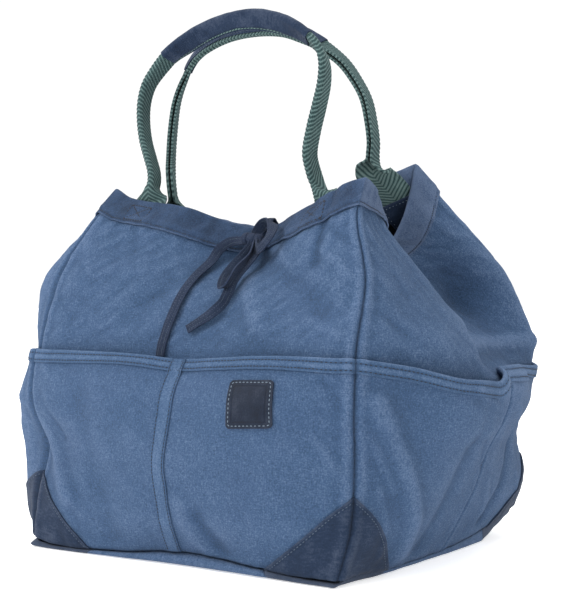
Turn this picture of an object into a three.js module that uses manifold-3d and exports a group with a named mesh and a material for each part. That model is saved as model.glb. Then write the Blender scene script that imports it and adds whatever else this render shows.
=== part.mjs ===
// A washed canvas tote bag: a square base, four panels with patch pockets all round, a top band,
// two folded webbing handles with suede grips, suede corners and a cloth tie in a bow.
// Millimetres, +Z up. The front faces -Y, and the origin is the centre of the base's underside.
import * as THREE from 'three';
import { mergeVertices } from 'three/addons/utils/BufferGeometryUtils.js';
import Module from 'manifold-3d';

// Thicknesses of the cloths, and the gap that parted pieces keep
const CANVAS = 1.6;
const POCKET_CLOTH = 1.6;
const BINDING_CLOTH = 1.1;
const SUEDE = 1.3;
const BAND_CLOTH = 2.0;
const WEBBING = 2.4;
const TIE_CLOTH = 1.5;
const GAP = 0.5;
const BAND_GAP = 0.8;
const BINDING_GAP = 0.8;

// Widths
const WEBBING_WIDTH = 38;
const BINDING_WIDTH = 13.5;
const DIVIDER_WIDTH = 16;
const TIE_WIDTH = 10;

// Levels run up the cloth from the bottom seam, 0, to the rim, 1
const LEVELS = [0, 0.12, 0.26, 0.4, 0.55, 0.73, 0.92, 1];
const BAND_LEVEL = 0.92;
const PANEL_TOP = 0.985;
const PANEL_HEIGHT = 400;

// Widths of a panel along the pocket and along the rim
const PANEL_WIDTH = 366;
const RIM_WIDTH = 330;

// The corner seams, one place for each level
const CORNER_SEAMS = {
  frontLeft: [
    { x: -182, y: -175, z: 7 }, { x: -183, y: -166, z: 50 }, { x: -182, y: -153, z: 97 },
    { x: -191, y: -167, z: 147 }, { x: -190, y: -160, z: 198 }, { x: -182, y: -144, z: 265 },
    { x: -164, y: -100, z: 338 }, { x: -158, y: -76, z: 364 },
  ],
  frontRight: [
    { x: 177, y: -176, z: 3 }, { x: 185, y: -166, z: 52 }, { x: 187, y: -163, z: 100 },
    { x: 188, y: -166, z: 150 }, { x: 186, y: -159, z: 200 }, { x: 177, y: -127, z: 262 },
    { x: 155, y: -103, z: 334 }, { x: 154, y: -89, z: 360 },
  ],
  backRight: [
    { x: 184, y: 166, z: 30 }, { x: 190, y: 174, z: 64 }, { x: 188, y: 160, z: 108 },
    { x: 194, y: 180, z: 150 }, { x: 192, y: 178, z: 196 }, { x: 184, y: 146, z: 270 },
    { x: 147, y: 70, z: 358 }, { x: 132, y: 48, z: 385 },
  ],
  backLeft: [
    { x: -178, y: 160, z: 10 }, { x: -184, y: 160, z: 52 }, { x: -187, y: 152, z: 100 },
    { x: -190, y: 142, z: 150 }, { x: -186, y: 122, z: 198 }, { x: -176, y: 80, z: 262 },
    { x: -154, y: -14, z: 326 }, { x: -148, y: -40, z: 348 },
  ],
};

// How each panel departs from the straight line between its two corner seams. A row is a level,
// a column a station across the panel from its left seam, seen from outside. out is away from
// the bag, along is towards the panel's right seam, rise is up.
const SIDES = {
  front: {
    from: 'frontLeft', to: 'frontRight', outward: [0, -1, 0], across: [1, 0, 0],
    stations: [0.07, 0.27, 0.56, 0.77, 0.93],
    out: [
      [0, -1, -2, -1, 0], [9, 23, 29, 24, 10], [13, 34, 42, 34, 15], [10, 22, 27, 24, 11],
      [7, 8, 7, 8, 7], [6, 7, 2, 6, 6], [3, 2, -22, -4, 1], [3, 4, -25, -14, 1],
    ],
    rise: [
      [-4, -2, 7, 3, 0], [0, 0, 0, 0, 0], [0, 0, 0, 0, 0], [0, 0, 0, 0, 0],
      [0, -1, -2, 0, 0], [0, -6, -16, -8, 0], [-9, -20, -43, -28, -8], [-11, -19, -44, -24, -7],
    ],
    along: [
      [0, 0, 0, 0, 0], [0, 1, 1, 0, 0], [0, -3, -3, -1, 0], [0, 6, 6, 2, 0],
      [0, 6, 6, 2, 0], [0, 3, 3, 1, 0], [0, 0, 0, 0, 0], [0, 0, 0, 0, 0],
    ],
  },
  right: {
    from: 'frontRight', to: 'backRight', outward: [1, 0, 0], across: [0, 1, 0],
    stations: [0.07, 0.27, 0.4, 0.5, 0.73, 0.93],
    out: [
      [2, 5, 6, 6, 5, 2], [10, 26, 27, 26, 22, 10], [14, 42, 45, 46, 32, 10],
      [14, 48, 53, 57, 38, 11], [16, 46, 47, 26, 16, 22], [9, 17, 6, -34, -34, 13],
      [2, 2, -26, -52, -20, 1], [2, 0, -33, -62, -27, -2],
    ],
    rise: [
      [0, -7, -10, -12, -11, -6], [0, 0, 0, 0, 0, 0], [0, 0, 0, 0, 0, 0],
      [0, 0, 0, 0, 0, 0], [0, 0, 0, 0, 0, 0], [0, -4, -12, -20, -14, 0],
      [-5, -22, -56, -82, -56, -20], [-8, -37, -68, -92, -74, -26],
    ],
    along: [
      [0, 0, 0, 0, 0, 0], [0, 0, 0, 0, 0, 0], [0, 0, 0, 0, 0, 0],
      [0, 0, 0, 0, 0, 0], [0, 0, 0, 0, 0, 0], [0, 4, 12, 20, 12, 0],
      [0, 0, 11, 20, 24, 2], [0, 2, 12, 20, 18, 2],
    ],
  },
  back: {
    from: 'backRight', to: 'backLeft', outward: [0, 1, 0], across: [-1, 0, 0],
    stations: [0.07, 0.27, 0.5, 0.73, 0.93],
    out: [
      [0, -2, -3, -2, 0], [10, 23, 30, 24, 10], [12, 32, 41, 33, 12], [10, 27, 35, 28, 11],
      [8, 17, 21, 18, 8], [4, -4, -8, -2, 4], [-6, -10, 6, -8, -6], [-10, -14, 4, -12, -12],
    ],
    rise: [
      [-2, -6, -6, -4, 0], [0, 0, 0, 0, 0], [0, 0, 0, 0, 0], [0, 0, 0, 0, 0],
      [0, -1, -2, -1, 0], [0, -6, -12, -6, 0], [-9, -26, -42, -24, -5], [-8, -28, -44, -24, -4],
    ],
  },
  left: {
    from: 'backLeft', to: 'frontLeft', outward: [-1, 0, 0], across: [0, -1, 0],
    stations: [0.07, 0.27, 0.5, 0.73, 0.93],
    out: [
      [2, 5, 7, 11, 9], [12, 34, 44, 52, 39], [14, 42, 54, 62, 50], [14, 40, 50, 52, 37],
      [14, 37, 43, 40, 19], [6, 2, -14, 24, 30], [-6, -32, -52, -25, 11], [-5, -28, -46, -30, 0],
    ],
    rise: [
      [0, -4, -4, -2, 0], [0, 0, 0, 0, 0], [0, 0, 0, 0, 0], [0, 0, 0, 0, 0],
      [0, 0, 0, 0, 0], [0, -8, -16, -6, 0], [-8, -40, -60, -36, -6], [-6, -40, -64, -44, -10],
    ],
  },
};
const SIDE_ORDER = ['front', 'right', 'back', 'left'];

// The level of each pocket's top edge at the mouth stations, how far each of its two compartments
// gapes there, and the power that moves each belly towards one side
const MOUTH_STATIONS = [0, 0.12, 0.27, 0.42, 0.5, 0.58, 0.8, 1];
const POCKETS = {
  front: { mouth: [0.54, 0.537, 0.531, 0.523, 0.52, 0.52, 0.528, 0.53], gape: [8, 5], skew: [1.6, 1] },
  right: { mouth: [0.53, 0.508, 0.468, 0.456, 0.486, 0.482, 0.486, 0.5], gape: [14, 4], skew: [1.5, 0.7] },
  back: { mouth: [0.5, 0.515, 0.525, 0.53, 0.538, 0.532, 0.54, 0.55], gape: [7, 7], skew: [1.1, 0.9] },
  left: { mouth: [0.55, 0.538, 0.518, 0.512, 0.53, 0.515, 0.528, 0.54], gape: [9, 9], skew: [1.2, 0.6] },
};
const POCKET_SEAM_GAP = 0.5;
const POCKET_MOUTH_GAP = 2.5;
const DIVIDER_STATION = 0.5;

// Soft folds: a ridge (height above 0) or trough along a line between two places on a panel
const FOLDS = [
  { side: 'front', from: [0.01, 0.35], to: [0.14, 0.13], height: 5, width: 11 },
  { side: 'front', from: [0.20, 0.40], to: [0.30, 0.05], height: -3, width: 16 },
  { side: 'front', from: [0.60, 0.00], to: [0.55, 0.14], height: 4, width: 12 },
  { side: 'front', from: [0.67, 0.01], to: [0.60, 0.11], height: -4, width: 10 },
  { side: 'front', from: [0.60, 0.93], to: [0.90, 0.66], height: -5, width: 15 },
  { side: 'front', from: [0.58, 0.90], to: [0.72, 0.62], height: 4, width: 13 },
  { side: 'front', from: [0.50, 0.90], to: [0.30, 0.66], height: -4, width: 16 },
  { side: 'front', from: [0.90, 0.99], to: [0.86, 0.80], height: -5, width: 8 },
  { side: 'right', from: [0.04, 0.42], to: [0.24, 0.02], height: 5, width: 10 },
  { side: 'right', from: [0.36, 0.30], to: [0.33, 0.03], height: -4, width: 14 },
  { side: 'right', from: [0.80, 0.34], to: [0.70, 0.05], height: -5, width: 12 },
  { side: 'right', from: [0.48, 0.572], to: [0.95, 0.575], height: 5, width: 10 },
  { side: 'right', from: [0.46, 0.465], to: [0.66, 0.47], height: 8, width: 20 },
  { side: 'back', from: [0.10, 0.36], to: [0.22, 0.06], height: 4, width: 12 },
  { side: 'back', from: [0.48, 0.92], to: [0.20, 0.62], height: -5, width: 17 },
  { side: 'back', from: [0.52, 0.92], to: [0.84, 0.62], height: -5, width: 17 },
  { side: 'left', from: [0.95, 0.30], to: [0.78, 0.05], height: 5, width: 12 },
  { side: 'left', from: [0.30, 0.50], to: [0.22, 0.08], height: -4, width: 16 },
  { side: 'left', from: [0.93, 0.61], to: [0.92, 0.72], height: 5, width: 15 },
];

// Base: the curl from the flat underside up to the bottom seam, the part of the height that its
// roll adds under all the seams, and how far it stands out past them. Past the height of the bend
// the base rises over a longer way.
const BASE_CURL = 9;
const BASE_CLOTH = 1.8;
const BASE_ROLL = 3;
const BASE_LIP = { front: 9, right: 0, back: 6, left: 10 };
const BASE_BEND = 12;
const BASE_TURN = 16;

// Monotone cubic through the points (xs, ys), held straight past its ends
function curveThrough(xs, ys, x) {
  const n = xs.length;
  const chord = (i) => (ys[i + 1] - ys[i]) / (xs[i + 1] - xs[i]);
  const slope = (i) => {
    if (i === 0) return chord(0);
    if (i === n - 1) return chord(n - 2);
    const a = chord(i - 1);
    const b = chord(i);
    return a * b <= 0 ? 0 : (2 * a * b) / (a + b);
  };
  if (x <= xs[0]) return ys[0] + slope(0) * (x - xs[0]);
  if (x >= xs[n - 1]) return ys[n - 1] + slope(n - 1) * (x - xs[n - 1]);
  let i = 0;
  while (x > xs[i + 1]) i += 1;
  const h = xs[i + 1] - xs[i];
  const t = (x - xs[i]) / h;
  const t2 = t * t;
  const t3 = t2 * t;
  return (2 * t3 - 3 * t2 + 1) * ys[i] + (t3 - 2 * t2 + t) * h * slope(i)
    + (3 * t2 - 2 * t3) * ys[i + 1] + (t3 - t2) * h * slope(i + 1);
}

const smooth = (t) => {
  const c = Math.min(1, Math.max(0, t));
  return c * c * (3 - 2 * c);
};
const mix = (a, b, t) => a + (b - a) * t;
const vector = (a) => new THREE.Vector3(...a);

function cornerAt(corner, level) {
  const rows = CORNER_SEAMS[corner];
  const along = (key) => curveThrough(LEVELS, rows.map((row) => row[key]), level);
  return new THREE.Vector3(along('x'), along('y'), along('z') + BASE_ROLL);
}

// A side's table read between its rows and columns; its seams hold 0
function tableAt(side, table, u, level) {
  if (!table) return 0;
  const columns = side.stations.map((_, c) => curveThrough(LEVELS, table.map((row) => row[c]), level));
  return curveThrough([0, ...side.stations, 1], [0, ...columns, 0], u);
}

// Height of the soft folds at a place on a panel
function foldAt(name, u, level) {
  let sum = 0;
  for (const fold of FOLDS) {
    if (fold.side !== name) continue;
    const place = new THREE.Vector2(u * PANEL_WIDTH, level * PANEL_HEIGHT);
    const start = new THREE.Vector2(fold.from[0] * PANEL_WIDTH, fold.from[1] * PANEL_HEIGHT);
    const line = new THREE.Vector2(fold.to[0] * PANEL_WIDTH, fold.to[1] * PANEL_HEIGHT).sub(start);
    const t = Math.min(1, Math.max(0, place.clone().sub(start).dot(line) / line.lengthSq()));
    const away = place.distanceTo(start.clone().addScaledVector(line, t));
    const fade = smooth(Math.min(u, 1 - u) / 0.05) * smooth(level / 0.04);
    sum += fold.height * Math.exp(-((away / fold.width) ** 2)) * fade;
  }
  return sum;
}

// A place on the middle of a panel's cloth
function panelPoint(name, u, level) {
  const side = SIDES[name];
  const point = cornerAt(side.from, level).lerp(cornerAt(side.to, level), u);
  point.addScaledVector(vector(side.outward), tableAt(side, side.out, u, level) + foldAt(name, u, level));
  point.addScaledVector(vector(side.across), tableAt(side, side.along, u, level));
  point.z += tableAt(side, side.rise, u, level);
  return point;
}

function rawNormal(name, u, level) {
  const du = 0.012;
  const dv = 0.012;
  const u0 = Math.max(0, u - du);
  const u1 = Math.min(1, u + du);
  const v0 = Math.max(0, level - dv);
  const v1 = Math.min(1, level + dv);
  const right = panelPoint(name, u1, level).sub(panelPoint(name, u0, level));
  const up = panelPoint(name, u, v1).sub(panelPoint(name, u, v0));
  return right.cross(up).normalize();
}

// The outward direction, turned to halve the corner where two panels meet
const CORNER_TURN = 0.045;
function normalAt(name, u, level) {
  const own = rawNormal(name, u, level);
  const share = smooth(Math.min(u, 1 - u) / CORNER_TURN);
  if (share === 1) return own;
  const k = SIDE_ORDER.indexOf(name);
  const atStart = u < 0.5;
  const other = SIDE_ORDER[(k + (atStart ? 3 : 1)) % 4];
  const halved = rawNormal(name, atStart ? 0 : 1, level).add(rawNormal(other, atStart ? 1 : 0, level));
  return halved.normalize().multiplyScalar(1 - share).addScaledVector(own, share).normalize();
}

// A place at a distance outside a panel's middle
function offPanel(name, u, level, distance) {
  return panelPoint(name, u, level).addScaledVector(normalAt(name, u, level), distance);
}

const mouthAt = (name, u) => curveThrough(MOUTH_STATIONS, POCKETS[name].mouth, u);

// Distance from a panel's middle to the inner face of the pocket on it
function pocketInner(name, u, level) {
  const height = level / mouthAt(name, u);
  const inLeft = u < DIVIDER_STATION;
  const share = inLeft ? u / DIVIDER_STATION : (u - DIVIDER_STATION) / (1 - DIVIDER_STATION);
  const skewed = Math.min(1, Math.max(0, share)) ** POCKETS[name].skew[inLeft ? 0 : 1];
  const belly = Math.sin(Math.PI * skewed) ** 0.8;
  const opening = smooth((height - 0.35) / 0.65);
  const gape = POCKETS[name].gape[inLeft ? 0 : 1] * belly * opening;
  return CANVAS / 2 + mix(POCKET_SEAM_GAP, POCKET_MOUTH_GAP, smooth((height - 0.6) / 0.3)) + gape;
}

// Closed shell between an outer and an inner grid of places, both m by n cells
function shell(m, n, outer, inner) {
  const positions = [];
  const index = [];
  for (const face of [outer, inner]) {
    for (let j = 0; j <= n; j += 1) {
      for (let i = 0; i <= m; i += 1) positions.push(...face(i, j).toArray());
    }
  }
  const id = (f, i, j) => f * (m + 1) * (n + 1) + j * (m + 1) + i;
  const quad = (a, b, c, d) => index.push(a, b, c, a, c, d);
  for (let j = 0; j < n; j += 1) {
    for (let i = 0; i < m; i += 1) {
      quad(id(0, i, j), id(0, i + 1, j), id(0, i + 1, j + 1), id(0, i, j + 1));
      quad(id(1, i, j), id(1, i, j + 1), id(1, i + 1, j + 1), id(1, i + 1, j));
    }
  }
  for (let i = 0; i < m; i += 1) {
    quad(id(0, i, 0), id(1, i, 0), id(1, i + 1, 0), id(0, i + 1, 0));
    quad(id(0, i, n), id(0, i + 1, n), id(1, i + 1, n), id(1, i, n));
  }
  for (let j = 0; j < n; j += 1) {
    quad(id(0, 0, j), id(0, 0, j + 1), id(1, 0, j + 1), id(1, 0, j));
    quad(id(0, m, j), id(1, m, j), id(1, m, j + 1), id(0, m, j + 1));
  }
  return geometryOf(positions, index);
}

// Closed loft through rings of places, turned so that its faces point out.
// A round trip joins the last ring to the first instead of capping both ends.
// The strip of faces from the ring place called turned is split along its other diagonal.
function loft(rings, roundTrip = false, turned = -1) {
  const sides = rings[0].length;
  const positions = rings.flat().flatMap((place) => place.toArray());
  const index = [];
  const last = roundTrip ? rings.length : rings.length - 1;
  for (let r = 0; r < last; r += 1) {
    for (let k = 0; k < sides; k += 1) {
      const a = r * sides + k;
      const b = r * sides + ((k + 1) % sides);
      const c = ((r + 1) % rings.length) * sides + ((k + 1) % sides);
      const d = ((r + 1) % rings.length) * sides + k;
      if (k === turned) index.push(a, b, d, b, c, d);
      else index.push(a, b, c, a, c, d);
    }
  }
  if (!roundTrip) {
    const end = (rings.length - 1) * sides;
    for (let k = 1; k < sides - 1; k += 1) {
      index.push(0, k + 1, k);
      index.push(end, end + k, end + k + 1);
    }
  }
  const corner = (i) => new THREE.Vector3().fromArray(positions, 3 * index[i]);
  let volume = 0;
  for (let i = 0; i < index.length; i += 3) volume += corner(i).cross(corner(i + 1)).dot(corner(i + 2));
  return geometryOf(positions, volume < 0 ? index.reverse() : index);
}

function geometryOf(positions, index) {
  const geometry = new THREE.BufferGeometry();
  geometry.setAttribute('position', new THREE.Float32BufferAttribute(positions, 3));
  geometry.setIndex(index);
  geometry.computeVertexNormals();
  return geometry;
}

// Cutting and joining
const wasm = await Module();
wasm.setup();
function solidOf(geometry) {
  const bare = new THREE.BufferGeometry();
  bare.setAttribute('position', geometry.getAttribute('position').clone());
  if (geometry.index) bare.setIndex(geometry.index.clone());
  const merged = mergeVertices(bare, 1e-3);
  return new wasm.Manifold(new wasm.Mesh({
    numProp: 3,
    vertProperties: merged.getAttribute('position').array,
    triVerts: new Uint32Array(merged.index.array),
  }));
}
function geometryFrom(solid) {
  const mesh = solid.getMesh();
  const positions = [];
  for (let i = 0; i < mesh.numVert; i += 1) {
    positions.push(...mesh.vertProperties.slice(i * mesh.numProp, i * mesh.numProp + 3));
  }
  return geometryOf(positions, Array.from(mesh.triVerts));
}

// Colours and finishes
const finish = (color, roughness) => new THREE.MeshStandardMaterial({ color, roughness, metalness: 0 });
const canvas = finish(0x58769d, 0.95);
const binding = finish(0x5f7ea6, 0.95);
const suede = finish(0x36445f, 0.9);
const webbing = finish(0x5e7f7c, 0.9);
const leather = finish(0x2e3a50, 0.8);
const tieCloth = finish(0x33415a, 0.95);

const bag = new THREE.Group();
function add(name, geometry, material) {
  const mesh = new THREE.Mesh(geometry, material);
  mesh.name = name;
  bag.add(mesh);
}

// Grid lines across every panel, closer at the seams and along the divider's edges
const HALF_DIVIDER = DIVIDER_WIDTH / 2 / PANEL_WIDTH;
const EDGE = 0.0007;
const ACROSS = [
  EDGE, 0.035, 0.08, 0.15, 0.24, 0.32, 0.41, DIVIDER_STATION - HALF_DIVIDER,
  DIVIDER_STATION + HALF_DIVIDER, 0.59, 0.68, 0.76, 0.85, 0.92, 0.965, 1 - EDGE,
];
const CELLS = ACROSS.length - 1;
const BINDING_LEVELS = BINDING_WIDTH / PANEL_HEIGHT;
const POCKET_ROWS = [0, 0.08, 0.2, 0.36, 0.54, 0.74];
const UPPER_ROWS = [0.2, 0.42, 0.66, 0.86];
const BOTTOM = 0.0015;

// The levels of a pocket's rows at a place across, up to its mouth
function pocketLevels(name, u) {
  const mouth = mouthAt(name, u);
  return [...POCKET_ROWS.map((part) => Math.max(BOTTOM, part * mouth)), mouth - BINDING_LEVELS, mouth];
}

function panelLevels(name, u) {
  const mouth = mouthAt(name, u);
  const upper = UPPER_ROWS.map((part) => mix(mouth, BAND_LEVEL, part));
  return [...pocketLevels(name, u), ...upper, BAND_LEVEL, PANEL_TOP];
}

function panel(name) {
  const face = (distance) => (i, j) => offPanel(name, ACROSS[i], panelLevels(name, ACROSS[i])[j], distance);
  return shell(CELLS, panelLevels(name, 0).length - 1, face(CANVAS / 2), face(-CANVAS / 2));
}

function pocket(name) {
  const face = (extra) => (i, j) => {
    const level = pocketLevels(name, ACROSS[i])[j];
    return offPanel(name, ACROSS[i], level, pocketInner(name, ACROSS[i], level) + extra);
  };
  return shell(CELLS, pocketLevels(name, 0).length - 1, face(POCKET_CLOTH), face(0));
}

// The binding is folded over the pocket's top edge, with a flap on each face
function pocketBinding(name) {
  const rings = ACROSS.map((u) => {
    const mouth = mouthAt(name, u);
    const low = mouth - BINDING_LEVELS;
    const crown = mouth + (GAP + BINDING_CLOTH) / PANEL_HEIGHT;
    const seat = mouth + GAP / PANEL_HEIGHT;
    const at = (level, extra) => offPanel(name, u, level, pocketInner(name, u, Math.min(level, mouth)) + extra);
    const front = POCKET_CLOTH + BINDING_GAP;
    return [
      at(low, front), at(low, front + BINDING_CLOTH), at(crown, front + BINDING_CLOTH),
      at(crown, -BINDING_GAP - BINDING_CLOTH), at(low, -BINDING_GAP - BINDING_CLOTH), at(low, -BINDING_GAP),
      at(seat, -BINDING_GAP), at(seat, front),
    ];
  });
  return loft(rings, false, rings[0].length - 1);
}

// The strip over the middle of a pocket, and over its binding
function divider(name) {
  const columns = [DIVIDER_STATION - HALF_DIVIDER, DIVIDER_STATION + HALF_DIVIDER];
  const rows = (u) => {
    const levels = pocketLevels(name, u);
    const mouth = levels.pop();
    const low = levels.pop();
    const flat = levels.map((level) => ({ level, step: 0 }));
    return [
      ...flat, { level: low - 0.008, step: 0 }, { level: low - 0.002, step: BINDING_CLOTH + BINDING_GAP },
      { level: mouth + 0.002, step: BINDING_CLOTH + BINDING_GAP },
    ];
  };
  const face = (extra) => (i, j) => {
    const { level, step } = rows(columns[i])[j];
    const seat = pocketInner(name, columns[i], Math.min(level, mouthAt(name, columns[i])));
    return offPanel(name, columns[i], level, seat + POCKET_CLOTH + GAP + step + extra);
  };
  return shell(1, rows(columns[0]).length - 1, face(BINDING_CLOTH), face(0));
}

// A closed sheet over part of a pocket, on the pocket's own grid lines and rows
function overPocket(name, columns, rows, thickness) {
  const face = (extra) => (i, j) => {
    const u = ACROSS[columns[0] + i];
    const level = pocketLevels(name, u)[rows[0] + j];
    return offPanel(name, u, level, pocketInner(name, u, level) + POCKET_CLOTH + PATCH_GAP + extra);
  };
  return shell(columns[1] - columns[0], rows[1] - rows[0], face(thickness), face(0));
}

// A straight cutter through a side: an outline across and up from a place, seen from outside
function cutter(name, place, outline, mirrored) {
  const depth = 160;
  const across = vector(SIDES[name].across).multiplyScalar(mirrored ? -1 : 1);
  const up = new THREE.Vector3(0, 0, 1);
  const basis = new THREE.Matrix4().makeBasis(across, up, across.clone().cross(up)).setPosition(place);
  return new THREE.ExtrudeGeometry(outline, { depth, bevelEnabled: false }).translate(0, 0, -depth / 2)
    .applyMatrix4(basis);
}

// Suede triangle in a pocket's bottom corner: foot along the bottom seam, apex up the corner seam
const PATCH_FOOT = 78;
const PATCH_HEIGHT = 76;
const PATCH_BEYOND = 0.4;
const PATCH_GAP = 0.5;
function cornerPatch(name, atStart) {
  const place = cornerAt(atStart ? SIDES[name].from : SIDES[name].to, 0);
  const foot = PATCH_FOOT * PATCH_BEYOND;
  const height = PATCH_HEIGHT * PATCH_BEYOND;
  const outline = new THREE.Shape([
    new THREE.Vector2(-foot, -height), new THREE.Vector2(PATCH_FOOT + foot, -height),
    new THREE.Vector2(-foot, PATCH_HEIGHT + height),
  ]);
  const columns = atStart ? [0, 5] : [CELLS - 5, CELLS];
  const sheet = solidOf(overPocket(name, columns, [0, 4], SUEDE));
  return geometryFrom(sheet.intersect(solidOf(cutter(name, place, outline, !atStart))));
}

// Square label on the front pocket, right of the divider
const LABEL = { x: 98.5, z: 155.5, width: 45, height: 44, lean: 3.5, thickness: 1.6, corner: 4 };
function label() {
  const w = LABEL.width / 2;
  const h = LABEL.height / 2;
  const r = LABEL.corner;
  const outline = new THREE.Shape();
  outline.absarc(w - r, h - r, r, 0, Math.PI / 2);
  outline.absarc(r - w, h - r, r, Math.PI / 2, Math.PI);
  outline.absarc(r - w, r - h, r, Math.PI, 1.5 * Math.PI);
  outline.absarc(w - r, r - h, r, 1.5 * Math.PI, 2 * Math.PI);
  const turned = new THREE.Shape(outline.getPoints(3).slice(0, -1)
    .map((point) => point.rotateAround(new THREE.Vector2(), THREE.MathUtils.degToRad(LABEL.lean))));
  const place = new THREE.Vector3(LABEL.x, -180, LABEL.z);
  const sheet = solidOf(overPocket('front', [9, 13], [3, 6], LABEL.thickness));
  return geometryFrom(sheet.intersect(solidOf(cutter('front', place, turned, false))));
}

// The band runs round the whole mouth, outside the panels' top edges
function topBand() {
  const inner = CANVAS / 2 + BAND_GAP;
  const outer = inner + BAND_CLOTH;
  const middle = PANEL_TOP;
  const rings = SIDE_ORDER.flatMap((name) => [0, ...ACROSS.slice(1, -1)].map((u) => [
    offPanel(name, u, BAND_LEVEL, inner), offPanel(name, u, middle, inner),
    offPanel(name, u, 1, inner), offPanel(name, u, 1, outer),
    offPanel(name, u, middle, outer), offPanel(name, u, BAND_LEVEL, outer),
  ]));
  return loft(rings, true);
}

// The base: flat on the ground, its edge curled up to the bottom seams
function basePlace(p, q) {
  const front = panelPoint('front', p, 0);
  const back = panelPoint('back', 1 - p, 0);
  const left = panelPoint('left', 1 - q, 0);
  const right = panelPoint('right', q, 0);
  const corner = (c) => cornerAt(c, 0);
  const place = front.multiplyScalar(1 - q).addScaledVector(back, q)
    .addScaledVector(left, 1 - p).addScaledVector(right, p)
    .addScaledVector(corner('frontLeft'), -(1 - p) * (1 - q)).addScaledVector(corner('frontRight'), -p * (1 - q))
    .addScaledVector(corner('backLeft'), -(1 - p) * q).addScaledVector(corner('backRight'), -p * q);
  const seam = place.z - BASE_CLOTH / 2 - 1.0;
  const span = 350;
  const away = Math.min(p, 1 - p, q, 1 - q) * span;
  const reach = Math.max(BASE_CURL, 3 * (seam - BASE_BEND));
  const power = 1.4 + 1.2 / (1 + (reach - BASE_CURL) / 20);
  const curl = Math.max(0, 1 - away / reach) ** power;
  place.z = BASE_CLOTH / 2 + Math.max(0, seam - BASE_CLOTH / 2) * curl;
  const bulge = Math.sin(Math.PI * Math.min(1, away / BASE_CURL)) * smooth(1 - away / BASE_CURL);
  const lead = Math.abs(place.x) - Math.abs(place.y);
  const sideways = smooth(1 + lead / BASE_TURN) * (place.x > 0 ? BASE_LIP.right : -BASE_LIP.left);
  const endways = smooth(1 - lead / BASE_TURN) * (place.y > 0 ? BASE_LIP.back : -BASE_LIP.front);
  place.x += sideways * bulge;
  place.y += endways * bulge;
  return place;
}
function baseNormal(p, q) {
  const d = 0.002;
  const clamp = (t) => Math.min(1, Math.max(0, t));
  const across = basePlace(clamp(p + d), q).sub(basePlace(clamp(p - d), q));
  const along = basePlace(p, clamp(q + d)).sub(basePlace(p, clamp(q - d)));
  return along.cross(across).normalize();
}
const BASE_LINES = [0.0012, 0.008, 0.018, 0.03, 0.09, 0.2, 0.4, 0.6, 0.8, 0.91, 0.97, 0.982, 0.992, 0.9988];
function baseSheet() {
  const n = BASE_LINES.length - 1;
  const face = (distance) => (i, j) => {
    const p = BASE_LINES[i];
    const q = BASE_LINES[n - j];
    return basePlace(p, q).addScaledVector(baseNormal(p, q), distance);
  };
  return shell(n, n, face(BASE_CLOTH / 2), face(-BASE_CLOTH / 2));
}

// The base's corners are suede, cut to a triangle and butted against the canvas
const BASE_FOOT = 76;
const BASE_BUTT = 0.4;
function cornerPrism(corner, foot) {
  const place = cornerAt(corner, 0);
  const sx = Math.sign(place.x);
  const sy = Math.sign(place.y);
  const beyond = 30;
  const outline = new THREE.Shape([
    new THREE.Vector2(place.x - sx * (foot + beyond), place.y + sy * beyond),
    new THREE.Vector2(place.x + sx * beyond, place.y - sy * (foot + beyond)),
    new THREE.Vector2(place.x + sx * beyond, place.y + sy * beyond),
  ]);
  return new THREE.ExtrudeGeometry(outline, { depth: 80, bevelEnabled: false }).translate(0, 0, -20);
}
function addBase() {
  const whole = solidOf(baseSheet());
  let middle = whole;
  for (const corner of Object.keys(CORNER_SEAMS)) {
    middle = middle.subtract(solidOf(cornerPrism(corner, BASE_FOOT)));
    const piece = whole.intersect(solidOf(cornerPrism(corner, BASE_FOOT - BASE_BUTT * 2)));
    add(`${corner}_base_patch`, geometryFrom(piece), suede);
  }
  add('base_panel', geometryFrom(middle), canvas);
}

// Handles: webbing sewn flat inside the rim, folded in half above it, with a suede grip.
// A foot is the place across its panel where a strap is sewn; the arch is the free middle line.
const HANDLES = {
  front: {
    left: 0.146, right: 0.828, gripFrom: 0.32, gripTo: 0.665, lean: [-0.2, 0], foldFrom: [2, -3],
    arch: [
      [-115, -75, 360], [-114, -71, 374], [-116, -69, 385], [-121, -69, 400], [-128, -68, 419],
      [-131, -68, 440], [-130, -68, 459], [-124, -68, 476], [-112, -68, 490], [-95, -68, 504],
      [-75, -68, 514], [-51, -68, 523], [-26, -68, 529], [3, -68, 531], [30, -68, 527],
      [53, -68, 519], [73, -68, 508], [89, -68, 495], [96, -69, 480], [96, -69, 461],
      [91, -70, 438], [85, -71, 415], [82, -73, 392], [83, -70, 378], [86, -64, 361],
    ],
  },
  back: {
    left: 0.857, right: 0.107, gripFrom: 0.32, gripTo: 0.665, lean: [0.5, 0.1], foldFrom: [-2, 10],
    arch: [
      [-104, -51, 357], [-106, -52, 378], [-111, -46, 396], [-111, -43, 429], [-107, -41, 461],
      [-99, -39, 483], [-86, -36, 506], [-67, -33, 520], [-43, -30, 529], [-13, -26, 532],
      [19, -22, 528], [42, -18, 518], [62, -15, 506], [83, -12, 489], [96, -9, 471],
      [106, -6, 451], [110, -3, 429], [110, 2, 408], [107, 6, 396], [102, 14, 379],
    ],
  },
};
const FOLD_BIGHT = 2.2;
const FOLD_LENGTH = 24;
const TURN_RISE = [90, 300];
const ARCH_CENTRE = { x: -15, z: 425 };
const SEWN_LEVELS = [0.85, 0.885, 0.92, 0.955, 0.985];
const STRAP_DEPTH = CANVAS / 2 + 1.5 + WEBBING / 2;
const RIM_ROOM = 2.2;

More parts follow.
